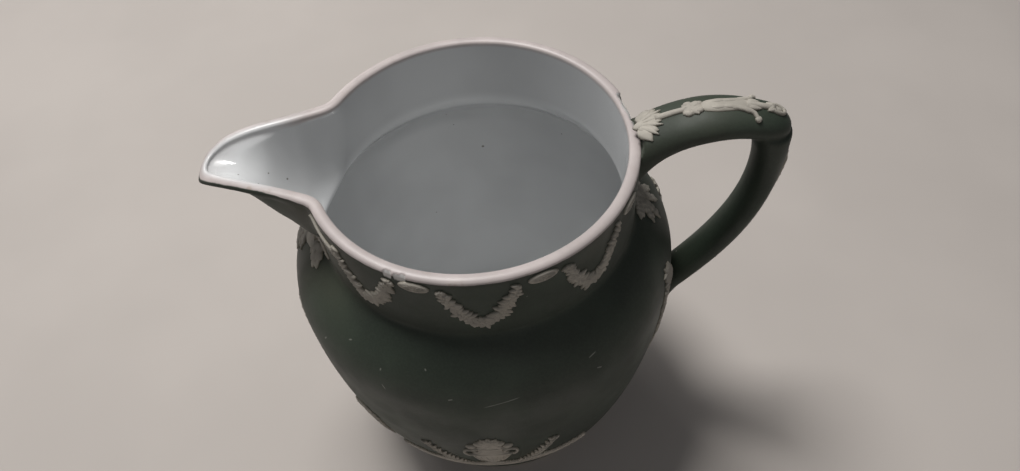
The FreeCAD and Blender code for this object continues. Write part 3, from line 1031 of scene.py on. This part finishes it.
# Spray beside the urn: where it starts, how far it goes across and up
SPRAY_START = 7.0
SPRAY_REACH = 12.0
SPRAY_RISE = 19.0


def ground_relief(v, sprig, random):
    """Strip of hilly ground with grass."""
    rise = v.sprig_relief
    share = np.linspace(-1, 1, 61)
    half_strip = v.belly_radius * math.radians(GROUND_HALF_ANGLE)
    hills = GROUND_TOP + 0.9 + 0.9 * np.cos(share * 14.5) * (1 - share**2)
    top = np.where(np.abs(share) > 0.94, GROUND_TOP, hills)
    middle = np.stack([half_strip * share, (GROUND + top) / 2], 1)
    sprig.blade(middle, (top - GROUND) / 2, rise * 0.8, square=True)
    for place in np.linspace(-0.93, 0.93, GRASS_BLADES):
        root = (half_strip * place, np.interp(place, share, top) - 0.5)
        angle, size = 90 + random.uniform(-38, 38), random.uniform(1.3, 2.3)
        sprig.leaf(root, angle, size, 0.34, rise * 0.7, steps=5)


def urn_relief(v, sprig):
    """Two-handled urn with gadroons, bars and a bunch of flowers."""
    rise = v.sprig_relief
    fine = np.linspace(0, URN_LEVELS[-1], 60)
    wide = np.interp(fine, URN_LEVELS, URN_HALVES)
    sprig.blade(np.stack([0 * fine, STANDING + fine], 1), wide, rise * 0.86)
    for across in np.linspace(-0.74, 0.74, 7):
        lobe = np.linspace(7.4, 13.6, 9)
        line = np.stack([across * np.interp(lobe, URN_LEVELS, URN_HALVES), STANDING + lobe], 1)
        wide = 0.62 * np.sin(np.linspace(0.25, math.pi - 0.1, 9))
        sprig.blade(line, wide, rise * 0.98 * np.sqrt(1 - 0.6 * across**2))
    for level in URN_BARS:
        half = np.interp(level, URN_LEVELS, URN_HALVES) * 1.02
        bar = np.stack([np.linspace(-half, half, 9), np.full(9, STANDING + level)], 1)
        sprig.blade(bar, np.full(9, 0.42), rise * 0.97)
    for side in (-1, 1):
        turn = np.radians(np.linspace(-70, 150, 13))
        across, level = side * (6.0 + 2.1 * np.cos(turn)), STANDING + 17.2 + 3.0 * np.sin(turn)
        sprig.blade(np.stack([across, level], 1), np.full(13, 0.5), rise * 0.8)
    for number, angle in enumerate(FLOWER_LEAVES):
        size = 7.6 + 0.6 * math.sin(math.radians(angle))
        frond(sprig, (1.1 * (4 - number), STANDING + 22.4), angle, size, 2.5, rise * 0.9, 3)
    for across, level, radius in FLOWERS:
        sprig.bead((across, STANDING + level), radius, rise)


def spray_relief(v, sprig, random, side):
    """Leafy spray that leans away from the urn."""
    rise = v.sprig_relief
    share = np.linspace(0, 1, 13)
    across, level = side * (SPRAY_START + SPRAY_REACH * share), STANDING + SPRAY_RISE * share**1.6
    sprig.blade(np.stack([across, level], 1), np.interp(share, (0, 1), (0.55, 0.25)), rise * 0.8)
    for run in np.linspace(0.06, 1.0, 11):
        root = (np.interp(run, share, across), np.interp(run, share, level))
        way = math.degrees(math.atan2(SPRAY_RISE * 1.6 * run**0.6, side * SPRAY_REACH))
        for spread in (-56, 56):
            angle = way + spread + random.uniform(-8, 8)
            size, tall = 3.9 * (1 - 0.35 * run), rise * random.uniform(0.8, 1.0)
            sprig.leaf(root, angle, size, 0.6, tall, bend=-spread * 0.3)
    way = math.degrees(math.atan2(SPRAY_RISE * 1.6, side * SPRAY_REACH))
    sprig.leaf((across[-1], level[-1]), way, 2.2, 0.6, rise)


def urn_sprig(v):
    """Urn with flowers on a strip of ground, a leafy spray on each side."""
    sprig = Sprig()
    random = np.random.default_rng(31)
    ground_relief(v, sprig, random)
    urn_relief(v, sprig)
    for side in (-1, 1):
        spray_relief(v, sprig, random, side)
    return sprig


HANDLE_SPRIGS = (
    "handle_fan_leaf", "handle_first_stem", "handle_first_husk", "handle_bud",
    "handle_second_stem", "handle_second_husk", "handle_tendril_front", "handle_tendril_back",
)


def handle_sprigs(v):
    """Leaf, stems, husks, bud and tendrils along the top of the handle, by node."""
    run = v.handle_reach - v.neck_radius
    rise = v.sprig_relief
    made = {name: Sprig() for name in HANDLE_SPRIGS}

    def at(share):
        return v.neck_radius + run * share - 1.1

    def stem(name, start, end, half):
        line = np.linspace(at(start), at(end), 9)
        path = np.stack([line, 0 * line], 1)
        made[name].blade(path, np.linspace(half, 0.85, 9), rise)

    fan = made["handle_fan_leaf"]
    root = at(0.0) + 3.7
    for angle in (-64, -38, -12, 12, 38, 64):
        base = (root, 0.02 * angle)
        fan.leaf(base, angle, 4.5, 1.3, rise * 0.9, groove=0.3, bend=angle * 0.12)
    for angle in (-52, -26, 0, 26, 52):
        fan.leaf((root + 0.5, 0.02 * angle), angle, 4.5, 0.65, rise, groove=0.2)
    fan.bead((root + 0.5, 0.0), 1.5, rise * 0.8)
    stem("handle_first_stem", 0.175, 0.33, 1.0)
    husk = made["handle_first_husk"]
    husk.bead((at(0.355), 0), 2.3, rise * 0.8, tall=1.05)
    for angle in (-62, 62, 142, 218):
        husk.leaf((at(0.355), 0), angle, 2.5, 1.2, rise * 0.95, groove=0.3)
    for share, off, size in ((0.335, 1.5, 1.0), (0.39, 1.1, 0.9)):
        for side in (-1, 1):
            husk.bead((at(share), side * off), size, rise)
    bud = made["handle_bud"]
    body = np.linspace(at(0.4), at(0.7), 19)
    wide = np.interp(np.linspace(0, 1, 19), (0, 0.07, 0.3, 0.75, 1), (1.0, 2.0, 2.5, 2.1, 1.3))
    bud.blade(np.stack([body, 0 * body], 1), wide, rise * 0.86, groove=0.12)
    for share in (0.44, 0.5):
        for side in (-1, 1):
            base = (at(share), side * 0.9)
            bud.leaf(base, side * 3, 4.6, 0.8, rise, groove=0.2, bend=-side * 8)
    for side in (-1, 1):
        for share, size, lean in ((0.57, 4.0, 20), (0.6, 3.4, 34), (0.64, 3.2, 8)):
            base = (at(share), side * 0.9)
            bud.leaf(base, side * lean, size, 0.8, rise * 0.95, bend=-side * 10)
    stem("handle_second_stem", 0.64, 0.8, 1.05)
    last = made["handle_second_husk"]
    turn = np.linspace(0, 2 * math.pi, 21)
    ring = np.stack([at(0.82) + 1.75 * np.cos(turn), 1.25 * np.sin(turn)], 1)
    last.blade(ring, np.full(21, 0.52), rise * 0.95)
    last.bead((at(0.82), 0), 1.0, rise * 0.7, tall=1.3)
    for angle in (145, 215):
        last.leaf((at(0.805), 0), angle, 2.4, 0.9, rise)
    for side, word in SIDES:
        tendril = made["handle_tendril_" + word]
        turn = np.linspace(0.0, 1.0, 22)
        x = at(0.56) + 6.3 * turn - 0.8 * ease(turn, 0.7, 1.0)
        path = np.stack([x, side * (1.2 + 2.5 * turn**2.2)], 1)
        tendril.blade(path, np.linspace(0.85, 0.5, 22), rise * 0.92)
        tendril.bead(path[-1] + (0.1, side * 0.2), 0.8, rise)
    return made


def limb_leaf_sprig(v):
    """Long leaf down the outer face of the lower limb."""
    sprig = Sprig()
    for number in range(5):
        start, size = 8.7 + 2.6 * number, 4.4 - 0.35 * number
        for side in (-1, 1):
            angle = 90 - side * 34
            sprig.leaf((0, start), angle, size, 0.85, v.sprig_relief * 0.9, bend=side * 14)
    drop = np.linspace(8.5, 21.5, 12)
    sprig.blade(np.stack([0 * drop, drop], 1), np.linspace(1.0, 0.4, 12), v.sprig_relief)
    sprig.leaf((0, 19.0), 90, 4.4, 0.9, v.sprig_relief)
    return sprig


# ---------------------------------------------------------------- finishes


class Finish:
    """A node material built step by step."""

    def __init__(self, name, sizes):
        self.sizes = sizes
        self.material = bpy.data.materials.new(name)
        self.material.use_nodes = True
        self.tree = self.material.node_tree
        self.tree.nodes.clear()
        self.coordinates = self.node("ShaderNodeTexCoord").outputs["Object"]

    def node(self, kind, inputs=None, **settings):
        """A new node with its settings, its inputs set or linked by name or number."""
        node = self.tree.nodes.new(kind)
        for name, value in settings.items():
            setattr(node, name, value)
        for name, value in (inputs or {}).items():
            socket = node.inputs[name]
            if isinstance(value, bpy.types.NodeSocket):
                self.tree.links.new(value, socket)
            elif isinstance(value, (tuple, list)) and socket.type == "RGBA":
                socket.default_value = (*value[:3], 1.0)
            else:
                socket.default_value = value
        return node

    def noise(self, scale, detail=3.0, roughness=0.55):
        """Soft noise, its scale per metre."""
        inputs = {"Scale": scale, "Detail": detail, "Roughness": roughness}
        inputs["Vector"] = self.coordinates
        return self.node("ShaderNodeTexNoise", inputs).outputs["Fac"]

    def math(self, operation, a, b=0.0):
        """Result of one operation on numbers."""
        return self.node("ShaderNodeMath", {0: a, 1: b}, operation=operation).outputs[0]

    def times(self, a, b):
        """Product of two numbers."""
        return self.math("MULTIPLY", a, b)

    def plus(self, a, b):
        """Sum of two numbers."""
        return self.math("ADD", a, b)

    def vector(self, operation, a, b=(0.0, 0.0, 0.0)):
        """Node of one operation on vectors."""
        return self.node("ShaderNodeVectorMath", {0: a, 1: b}, operation=operation)

    def ramp(self, value, low, high, start=0.0, end=1.0):
        """Smooth step from start to end while the value goes from low to high."""
        inputs = {"Value": value, "From Min": low, "From Max": high, "To Min": start, "To Max": end}
        node = self.node("ShaderNodeMapRange", inputs, interpolation_type="SMOOTHSTEP")
        return node.outputs["Result"]

    def blend(self, share, a, b):
        """Colour between a and b."""
        return self.node("ShaderNodeMix", {0: share, 6: a, 7: b}, data_type="RGBA").outputs[2]

    def mix(self, share, a, b):
        """Number between a and b."""
        return self.node("ShaderNodeMix", {0: share, 2: a, 3: b}, data_type="FLOAT").outputs[0]

    def specks(self, scale, size, keep):
        """Sparse round specks: scale per metre, size in cells and the share of cells kept."""
        cells = self.node("ShaderNodeTexVoronoi", {"Vector": self.coordinates, "Scale": scale})
        chance = self.node("ShaderNodeSeparateColor", {"Color": cells.outputs["Color"]}).outputs[0]
        near = self.ramp(cells.outputs["Distance"], size, size * 0.4)
        return self.times(near, self.math("GREATER_THAN", chance, 1.0 - keep))

    def spot(self, place, radius):
        """One round spot at a place in millimetres."""
        middle = tuple(float(p) * MM for p in place)
        away = self.vector("DISTANCE", self.coordinates, middle).outputs["Value"]
        return self.ramp(away, radius * MM, radius * 0.45 * MM)

    def scratch(self, angle, level, tilt, long, wide):
        """One fine straight mark on the belly, tilted in degrees from level."""
        angle, tilt = math.radians(angle), math.radians(tilt)
        radius = float(body_radius(self.sizes, np.array([level]), 0.0)[0])
        place = tuple(float(p) * MM for p in polar(np.array(angle), radius, level))
        flat = math.cos(tilt)
        way = (-math.sin(angle) * flat, math.cos(angle) * flat, math.sin(tilt))
        gap = self.vector("SUBTRACT", self.coordinates, place).outputs[0]
        along = self.math("ABSOLUTE", self.vector("DOT_PRODUCT", gap, way).outputs["Value"])
        crossed = self.vector("CROSS_PRODUCT", gap, way).outputs[0]
        off = self.vector("LENGTH", crossed).outputs["Value"]
        near = self.ramp(off, wide * MM, wide * 0.3 * MM)
        return self.times(near, self.ramp(along, long / 2 * MM, long / 3 * MM))

    def attribute(self, name):
        """A number stored on the mesh."""
        return self.node("ShaderNodeAttribute", attribute_name=name).outputs["Fac"]

    def bump(self, height, distance, strength):
        """Normal of a fine relief, its distance in metres."""
        inputs = {"Height": height, "Distance": distance, "Strength": strength}
        return self.node("ShaderNodeBump", inputs).outputs["Normal"]

    def surface(self, colour, roughness, normal, specular=0.5):
        """The finished material."""
        inputs = {"Base Color": colour, "Roughness": roughness, "Normal": normal}
        inputs["Specular IOR Level"] = specular
        shader = self.node("ShaderNodeBsdfPrincipled", inputs).outputs[0]
        self.node("ShaderNodeOutputMaterial", {"Surface": shader})
        return self.material


def kept(name, build):
    """The material of that name, built the first time that it is asked for."""
    return bpy.data.materials.get(name) or build(name)


def shade(colour, share):
    """A colour made darker or lighter."""
    return tuple(c * share for c in colour)


# Marks on the dip: angle, level, tilt, length and width
SCRATCHES = (
    (-81.5, 90.2, 13.0, 17.0, 0.22),
    (-140.3, 91.6, 60.0, 1.6, 0.35),
    (-118.7, 94.6, 80.0, 2.4, 0.3),
    (-117.5, 89.6, -55.0, 2.8, 0.26),
    (-105.2, 98.0, -70.0, 2.6, 0.3),
    (-98.1, 91.0, 20.0, 1.4, 0.3),
    (-57.1, 94.4, 15.0, 2.8, 0.26),
    (-56.1, 89.5, -30.0, 1.8, 0.3),
    (-130.7, 97.2, 40.0, 1.6, 0.3),
    (62.0, 88.0, 24.0, 9.0, 0.22),
    (118.0, 76.0, -15.0, 5.0, 0.25),
)
# Iron spots in the glaze: angle, level and radius
IRON_SPOTS = (
    (91.6, 73.0, 0.62),
    (104.0, 92.0, 0.3),
    (60.0, 84.0, 0.3),
    (80.0, 97.0, 0.26),
    (176.0, 113.5, 0.4),
    (-175.0, 108.0, 0.5),
    (-176.5, 120.0, 0.32),
    (178.0, 118.0, 0.3),
    (-178.0, 122.5, 0.3),
)
# Colours that belong to wear and dirt, and painted shade: the line under the lip, and in part the
# sprigs' low edges
PALE_SPECK = (0.36, 0.37, 0.33)
SCRATCH = (0.34, 0.34, 0.30)
# Painted shadow under the lip's outer edge
LIP_SHADOW_LINE = (0.02, 0.021, 0.015)
LIP_STAIN = (0.33, 0.25, 0.19)
IRON = (0.09, 0.07, 0.05)
BROKEN_CLAY = (0.66, 0.645, 0.63)
BARE_CLAY = ((0.42, 0.38, 0.31), (0.58, 0.54, 0.46))
# Partly the thin clay at the sprigs' edges, partly painted shade in their recesses
THIN_EDGE_AND_SHADE = (0.20, 0.185, 0.135)
SPRIG_SOIL = (0.32, 0.27, 0.2)
# How deep the fine relief of the coats and of the bare clay is, in metres
COAT_RELIEF = 0.00006
CLAY_RELIEF = 0.00008
FLOOR_RELIEF = 0.00005
# Where the bare foot ring ends, in metres
BARE_LEVELS = (0.0031, 0.0026)
# Where the glaze begins and has fully run over the spout's lip, in metres along X
POURED_FROM = -0.044
POURED_TO = -0.056


def dip_paint(finish, colours):
    """Colour, roughness and bump height of the matt green dip, with its wear."""
    dip, olive = tuple(colours.dip), tuple(colours.dip_olive)
    cloud = finish.ramp(finish.noise(38, 3), 0.38, 0.64)
    colour = finish.blend(cloud, shade(dip, 0.84), shade(dip, 1.2))
    patch = finish.ramp(finish.noise(17, 2, 0.5), 0.5, 0.72, 0.0, 0.7)
    colour = finish.blend(patch, colour, olive)
    grain = finish.ramp(finish.noise(1500, 2), 0.35, 0.7)
    colour = finish.blend(finish.times(grain, 0.12), colour, shade(dip, 2.4))
    pinholes = finish.specks(420, 0.1, 0.1)
    colour = finish.blend(finish.times(pinholes, 0.65), colour, shade(dip, 0.35))
    pale = finish.specks(150, 0.06, 0.03)
    colour = finish.blend(finish.times(pale, 0.55), colour, PALE_SPECK)
    for mark in SCRATCHES:
        colour = finish.blend(finish.times(finish.scratch(*mark), 0.5), colour, SCRATCH)
    roughness = finish.ramp(finish.noise(55, 3), 0.3, 0.7, 0.5, 0.66)
    height = finish.plus(finish.noise(700, 4), finish.times(finish.noise(120, 2), 1.4))
    height = finish.math("SUBTRACT", height, finish.times(pinholes, 0.8))
    return colour, roughness, height


def lip_paint(finish, colours, place):
    """Colour of the thinly glazed lip, stained along its outer edge."""
    tone = finish.ramp(finish.noise(90, 3), 0.35, 0.7)
    lip = finish.blend(tone, shade(colours.lip, 0.9), shade(colours.lip, 1.06))
    patch = finish.ramp(finish.noise(330, 3), 0.55, 0.72)
    stain = finish.times(patch, finish.ramp(place, 1.2, 0.0, 0.1, 0.55))
    return finish.blend(stain, lip, LIP_STAIN)


def glaze_paint(finish, colours, place):
    """Colour of the clear glaze inside, with a painted highlight along the crease, and its iron
    spots.
    """
    v = finish.sizes
    tone = finish.ramp(finish.noise(28, 2), 0.35, 0.68)
    glaze = finish.blend(tone, shade(colours.glaze, 0.94), shade(colours.glaze, 1.04))
    # Painted highlight: a lighter band of glaze along the inner crease of neck and belly
    crease = v.neck_wall + v.neck_height - v.lip_round
    before = finish.ramp(place, crease - 5.0, crease)
    crease_highlight = finish.times(before, finish.ramp(place, crease + 6.0, crease + 1.5))
    glaze = finish.blend(finish.times(crease_highlight, 0.75), glaze, shade(colours.glaze, 1.26))
    spots = finish.specks(190, 0.06, 0.05)
    for angle, level, radius in IRON_SPOTS:
        angle = math.radians(angle)
        reach = inner_radius(v, np.array([angle]), np.array([level]))[0]
        spot = finish.spot(polar(np.array(angle), reach, level), radius)
        spots = finish.math("MAXIMUM", spots, spot)
    return finish.blend(finish.times(spots, 0.75), glaze, IRON)


def dip_finish(context):
    """Matt green slip on the handle."""

    def build(name):
        finish = Finish(name, measures(context))
        colour, roughness, height = dip_paint(finish, context.scene.jug_colours)
        return finish.surface(colour, roughness, finish.bump(height, COAT_RELIEF, 0.5))

    return kept("green_dip", build)


def vessel_finish(context):
    """Green dip outside, thinly glazed lip, clear glaze over white inside, bare foot."""

    def build(name):
        colours = context.scene.jug_colours
        v = measures(context)
        finish = Finish(name, v)
        colour, roughness, height = dip_paint(finish, colours)
        place = finish.attribute("lip_place")
        wander = finish.times(finish.math("SUBTRACT", finish.noise(260, 3), 0.5), 0.5)
        edge = finish.plus(place, wander)
        # Painted shadow: a dark line on the dip just under the lip's outer edge
        under = finish.times(finish.ramp(edge, -1.3, -0.5), finish.ramp(edge, 0.1, -0.25))
        colour = finish.blend(finish.times(under, 0.5), colour, LIP_SHADOW_LINE)
        lip = lip_paint(finish, colours, place)
        glaze = glaze_paint(finish, colours, place)
        # Along the spout the glaze runs over the lip
        axes = finish.node("ShaderNodeSeparateXYZ", {"Vector": finish.coordinates}).outputs
        along = finish.ramp(axes["X"], POURED_FROM, POURED_TO)
        poured = finish.times(along, finish.ramp(place, 0.3, 1.6))
        lip = finish.blend(finish.times(poured, 0.8), lip, glaze)
        is_white = finish.ramp(edge, -0.14, 0.14)
        is_inside = finish.ramp(edge, v.neck_wall - 0.5, v.neck_wall + 0.9)
        colour = finish.blend(is_white, colour, finish.blend(is_inside, lip, glaze))
        broken = finish.times(finish.attribute("chip"), finish.plus(wander, 1.0))
        chip = finish.ramp(broken, 0.06, 0.17)
        colour = finish.blend(chip, colour, BROKEN_CLAY)
        bare = finish.ramp(finish.plus(axes["Z"], finish.times(wander, MM)), *BARE_LEVELS)
        bare_tone = finish.blend(finish.noise(300, 4), *BARE_CLAY)
        under_body = finish.times(bare, finish.ramp(place, 0.0, -1.0))
        colour = finish.blend(under_body, colour, bare_tone)
        glossy = finish.math("MAXIMUM", is_inside, finish.times(poured, 0.35))
        white_rough = finish.mix(chip, finish.mix(glossy, 0.42, 0.07), 0.6)
        roughness = finish.mix(is_white, roughness, white_rough)
        ripple = finish.times(finish.noise(60, 2), finish.mix(is_inside, 0.9, 2.0))
        height = finish.mix(is_white, height, ripple)
        return finish.surface(colour, roughness, finish.bump(height, COAT_RELIEF, 0.5))

    return kept("dipped_vessel", build)


def sprig_finish(context):
    """Bare off-white stoneware, thin and greenish at its edges, with painted shade in the recesses
    between its blades.
    """

    def build(name):
        finish = Finish(name, measures(context))
        clay = tuple(context.scene.jug_colours.sprig)
        tone = finish.ramp(finish.noise(140, 4), 0.35, 0.68)
        colour = finish.blend(tone, shade(clay, 0.86), shade(clay, 1.08))
        # Darker where the relief is low: the thin clay at the blades' edges, and painted shade in
        # the recesses between them
        worn = finish.times(finish.noise(500, 3), 0.2)
        low = finish.ramp(finish.plus(finish.attribute("relief"), worn), 0.62, 0.2)
        colour = finish.blend(finish.times(low, 0.62), colour, THIN_EDGE_AND_SHADE)
        soil = finish.times(finish.ramp(finish.noise(60, 4), 0.55, 0.78), 0.35)
        colour = finish.blend(soil, colour, SPRIG_SOIL)
        grain = finish.noise(1300, 3)
        roughness = finish.ramp(grain, 0.3, 0.7, 0.62, 0.8)
        height = finish.plus(grain, finish.times(finish.noise(350, 3), 1.5))
        normal = finish.bump(height, CLAY_RELIEF, 0.6)
        return finish.surface(colour, roughness, normal, specular=0.35)

    return kept("white_sprig_clay", build)


def floor_finish(context):
    """Pale matt table top with faint clouding."""

    def build(name):
        finish = Finish(name, measures(context))
        floor = tuple(context.scene.jug_colours.floor)
        cloud = finish.ramp(finish.noise(9, 3), 0.35, 0.7)
        colour = finish.blend(cloud, shade(floor, 0.97), shade(floor, 1.03))
        normal = finish.bump(finish.noise(420, 3), FLOOR_RELIEF, 0.2)
        return finish.surface(colour, 0.75, normal, specular=0.2)

    return kept("pale_table", build)


# ---------------------------------------------------------------- operators


class JugOperator(bpy.types.Operator):
    """Builds one part of the jug."""

    bl_options = {"REGISTER"}


class JUG_OT_vessel(JugOperator):
    """Vessel with its foot, rounded lip and glazed inside."""

    bl_idname = "jug.vessel"
    bl_label = "Vessel"

    def execute(self, context):
        make_clay(context, "thrown_vessel", ["vessel_body"], is_spout=False)
        return {"FINISHED"}


class JUG_OT_spout(JugOperator):
    """Pouring spout luted over the opening in the neck."""

    bl_idname = "jug.spout"
    bl_label = "Spout"

    def execute(self, context):
        make_clay(context, "luted_spout", ["pouring_spout"], is_spout=True)
        return {"FINISHED"}


class JUG_OT_handle(JugOperator):
    """Loop handle of an upper and a lower limb."""

    bl_idname = "jug.handle"
    bl_label = "Handle"

    def execute(self, context):
        make_handle(context)
        return {"FINISHED"}


class JUG_OT_garlands(JugOperator):
    """Garlands of leaves and paterae round the neck."""

    bl_idname = "jug.garlands"
    bl_label = "Garlands"

    def execute(self, context):
        v = measures(context)
        finish = sprig_finish(context)
        for side, word in SIDES:
            for number in range(3):
                node = f"neck_swag_{word}_{number + 1}"
                lay = on_clay(v, side * SWAG_ANGLES[number], v.neck_radius)
                tail = side if number == 2 else 0
                swag_sprig(v, 11 + number, tail).made(node + "_leaves", lay, finish, [node])
                node = f"neck_patera_{word}_{number + 1}"
                lay = on_clay(v, side * PATERA_ANGLES[number], v.neck_radius)
                patera_sprig(v).made(node + "_rosette", lay, finish, [node])
        return {"FINISHED"}


class JUG_OT_root_leaves(JugOperator):
    """Leaves round the roots of the spout and the handle."""

    bl_idname = "jug.root_leaves"
    bl_label = "Root leaves"

    def execute(self, context):
        v = measures(context)
        finish = sprig_finish(context)
        lay = on_clay(v, 180.0, SHOULDER_RADIUS)
        spout_leaf_sprig(v).made("spout_leaf_collar", lay, finish, ["spout_leaf"])
        lay = on_clay(v, 0.0, SHOULDER_RADIUS)
        root_leaf_sprig(v).made("handle_root_fan", lay, finish, ["handle_root_leaf"])
        return {"FINISHED"}


# Trees: name, angle from the handle, top, half width of the crown and seed
TREES = (
    ("tree_by_spout_", 163.0, 84.0, 7.8, 5),
    ("tree_by_handle_", 17.0, 93.0, 8.2, 6),
    ("shrub_", 133.0, 60.0, 6.6, 7),
)


class JUG_OT_belly(JugOperator):
    """Trees, shrubs and the urn on its ground round the belly."""

    bl_idname = "jug.belly"
    bl_label = "Belly sprigs"

    def execute(self, context):
        v = measures(context)
        finish = sprig_finish(context)
        for side, word in SIDES:
            lay = on_clay(v, side * 90.0, v.belly_radius)
            urn_sprig(v).made("urn_scene_" + word, lay, finish, ["urn_on_ground_" + word])
            for name, angle, top, half, seed in TREES:
                node = name + word
                lay = on_clay(v, side * angle, v.belly_radius)
                tree = tree_sprig(v, STANDING, top, half, seed)
                tree.made(node + "_leaves", lay, finish, [node])
        return {"FINISHED"}


class JUG_OT_handle_sprigs(JugOperator):
    """Chain of leaf, husks and bud on the handle, and the lower limb's leaf."""

    bl_idname = "jug.handle_sprigs"
    bl_label = "Handle sprigs"

    def execute(self, context):
        v = measures(context)
        finish = sprig_finish(context)
        for node, sprig in handle_sprigs(v).items():
            sprig.made(node + "_relief", on_upper_limb(v), finish, [node])
        leaf = limb_leaf_sprig(v)
        leaf.made("handle_limb_leaf_relief", on_lower_limb(v), finish, ["handle_limb_leaf"])
        return {"FINISHED"}


CAMERA_PLACE = (0.01557, -0.14066, 0.27031)
CAMERA_YAW = math.radians(3.0)
CAMERA_PITCH = 0.91356748
CAMERA_ROLL = -0.0862706
CAMERA_LENS = 27.04
# Lamps: name, place, what it looks at, width, power and tone
LAMPS = (
    ("high_window", (-0.21, 0.19, 0.95), (0, 0, 0.09), 0.32, 7.2, (1.0, 0.985, 0.965)),
    ("back_window", (-0.60, 0.80, 0.50), (0, 0, 0.10), 0.5, 2.0, (1.0, 0.99, 0.98)),
    ("front_fill", (0.30, -0.9, 0.6), (0, 0, 0.07), 0.9, 0.5, (1.0, 0.95, 0.9)),
)
# Radii of the table top's rings, in metres, and the points on each
TABLE_RINGS = (0.1, 0.25, 0.6, 1.2)
TABLE_SPOKES = 64
ROOM_TONE = (0.93, 0.95, 1.0, 1.0)
ROOM_POWER = 0.11
BACKDROP_TONE = (1.0, 1.0, 1.0, 1.0)


def lamp(name, place, target, size, power, tone):
    """Soft round lamp that looks at a point."""
    data = bpy.data.lights.new(name, "AREA")
    data.shape = "DISK"
    data.size = size
    data.energy = power
    data.color = tone
    light = bpy.data.objects.new(name, data)
    bpy.context.scene.collection.objects.link(light)
    light.location = place
    light.rotation_euler = (Vector(target) - Vector(place)).to_track_quat("-Z", "Y").to_euler()


def photo_camera(scene):
    """Camera at the place that the jug was seen from."""
    forward = Vector((
        -math.sin(CAMERA_YAW) * math.cos(CAMERA_PITCH),
        math.cos(CAMERA_YAW) * math.cos(CAMERA_PITCH),
        -math.sin(CAMERA_PITCH),
    ))
    right = Vector((math.cos(CAMERA_YAW), math.sin(CAMERA_YAW), 0.0))
    up = right.cross(forward)
    side = right * math.cos(CAMERA_ROLL) + up * math.sin(CAMERA_ROLL)
    top = up * math.cos(CAMERA_ROLL) - right * math.sin(CAMERA_ROLL)
    data = bpy.data.cameras.new("camera")
    data.lens = CAMERA_LENS
    data.sensor_width = 36.0
    data.clip_start = 0.01
    camera = bpy.data.objects.new("camera", data)
    scene.collection.objects.link(camera)
    turn = Matrix((side, top, -forward)).transposed().to_4x4()
    camera.matrix_world = Matrix.Translation(CAMERA_PLACE) @ turn
    scene.camera = camera


def table_top(context):
    """Round table top under the foot."""
    points = [(0.0, 0.0, 0.0)]
    for radius in TABLE_RINGS:
        for spoke in range(TABLE_SPOKES):
            turn = 2 * math.pi * spoke / TABLE_SPOKES
            points.append((radius * math.cos(turn), radius * math.sin(turn), 0.0))
    following = [(spoke, (spoke + 1) % TABLE_SPOKES) for spoke in range(TABLE_SPOKES)]
    faces = [(0, 1 + here, 1 + beside) for here, beside in following]
    for ring in range(len(TABLE_RINGS) - 1):
        start = 1 + ring * TABLE_SPOKES
        for here, beside in following:
            a, b = start + here, start + beside
            faces.append((a, a + TABLE_SPOKES, b + TABLE_SPOKES, b))
    mesh = bpy.data.meshes.new("table_top")
    mesh.from_pydata(points, [], faces)
    mesh.materials.append(floor_finish(context))
    floor = bpy.data.objects.new("table_top", mesh)
    context.scene.collection.objects.link(floor)


def soft_room(scene):
    """Dim even world, white where the camera sees past the table."""
    world = bpy.data.worlds.new("soft_room")
    world.use_nodes = True
    nodes, links = world.node_tree.nodes, world.node_tree.links
    room = nodes["Background"]
    room.inputs[0].default_value = ROOM_TONE
    room.inputs[1].default_value = ROOM_POWER
    backdrop = nodes.new("ShaderNodeBackground")
    backdrop.inputs[0].default_value = BACKDROP_TONE
    backdrop.inputs[1].default_value = 1.0
    ray, choice = nodes.new("ShaderNodeLightPath"), nodes.new("ShaderNodeMixShader")
    links.new(ray.outputs["Is Camera Ray"], choice.inputs[0])
    links.new(room.outputs[0], choice.inputs[1])
    links.new(backdrop.outputs[0], choice.inputs[2])
    links.new(choice.outputs[0], nodes["World Output"].inputs[0])
    scene.world = world


class JUG_OT_stage(JugOperator):
    """Pale floor, soft lamps, plain world and the camera."""

    bl_idname = "jug.stage"
    bl_label = "Stage"

    def execute(self, context):
        photo_camera(context.scene)
        table_top(context)
        for settings in LAMPS:
            lamp(*settings)
        soft_room(context.scene)
        context.scene.view_settings.view_transform = "Standard"
        return {"FINISHED"}


class JUG_PT_sidebar(bpy.types.Panel):
    """Sizes, colours and building steps of the jug."""

    bl_idname = "JUG_PT_sidebar"
    bl_label = "Stoneware Jug"
    bl_space_type = "VIEW_3D"
    bl_region_type = "UI"
    bl_category = "Jug"

    def draw(self, context):
        column = self.layout.column()
        for group in (context.scene.jug_sizes, context.scene.jug_colours):
            for name in group.__class__.__annotations__:
                column.prop(group, name)
        for operator in OPERATORS:
            column.operator(operator.bl_idname)


OPERATORS = (
    JUG_OT_stage,
    JUG_OT_vessel,
    JUG_OT_spout,
    JUG_OT_handle,
    JUG_OT_garlands,
    JUG_OT_root_leaves,
    JUG_OT_belly,
    JUG_OT_handle_sprigs,
)
CLASSES = (JugSizes, JugColours, *OPERATORS, JUG_PT_sidebar)


def register():
    """Adds the classes and the scene's settings."""
    for item in CLASSES:
        bpy.utils.register_class(item)
    bpy.types.Scene.jug_sizes = bpy.props.PointerProperty(type=JugSizes)
    bpy.types.Scene.jug_colours = bpy.props.PointerProperty(type=JugColours)


def unregister():
    """Removes what register added."""
    del bpy.types.Scene.jug_colours
    del bpy.types.Scene.jug_sizes
    for item in reversed(CLASSES):
        bpy.utils.unregister_class(item)


def main():
    """Builds the jug and its stage."""
    register()
    for operator in OPERATORS:
        group, action = operator.bl_idname.split(".")
        getattr(getattr(bpy.ops, group), action)()


if __name__ == "__main__":
    main()
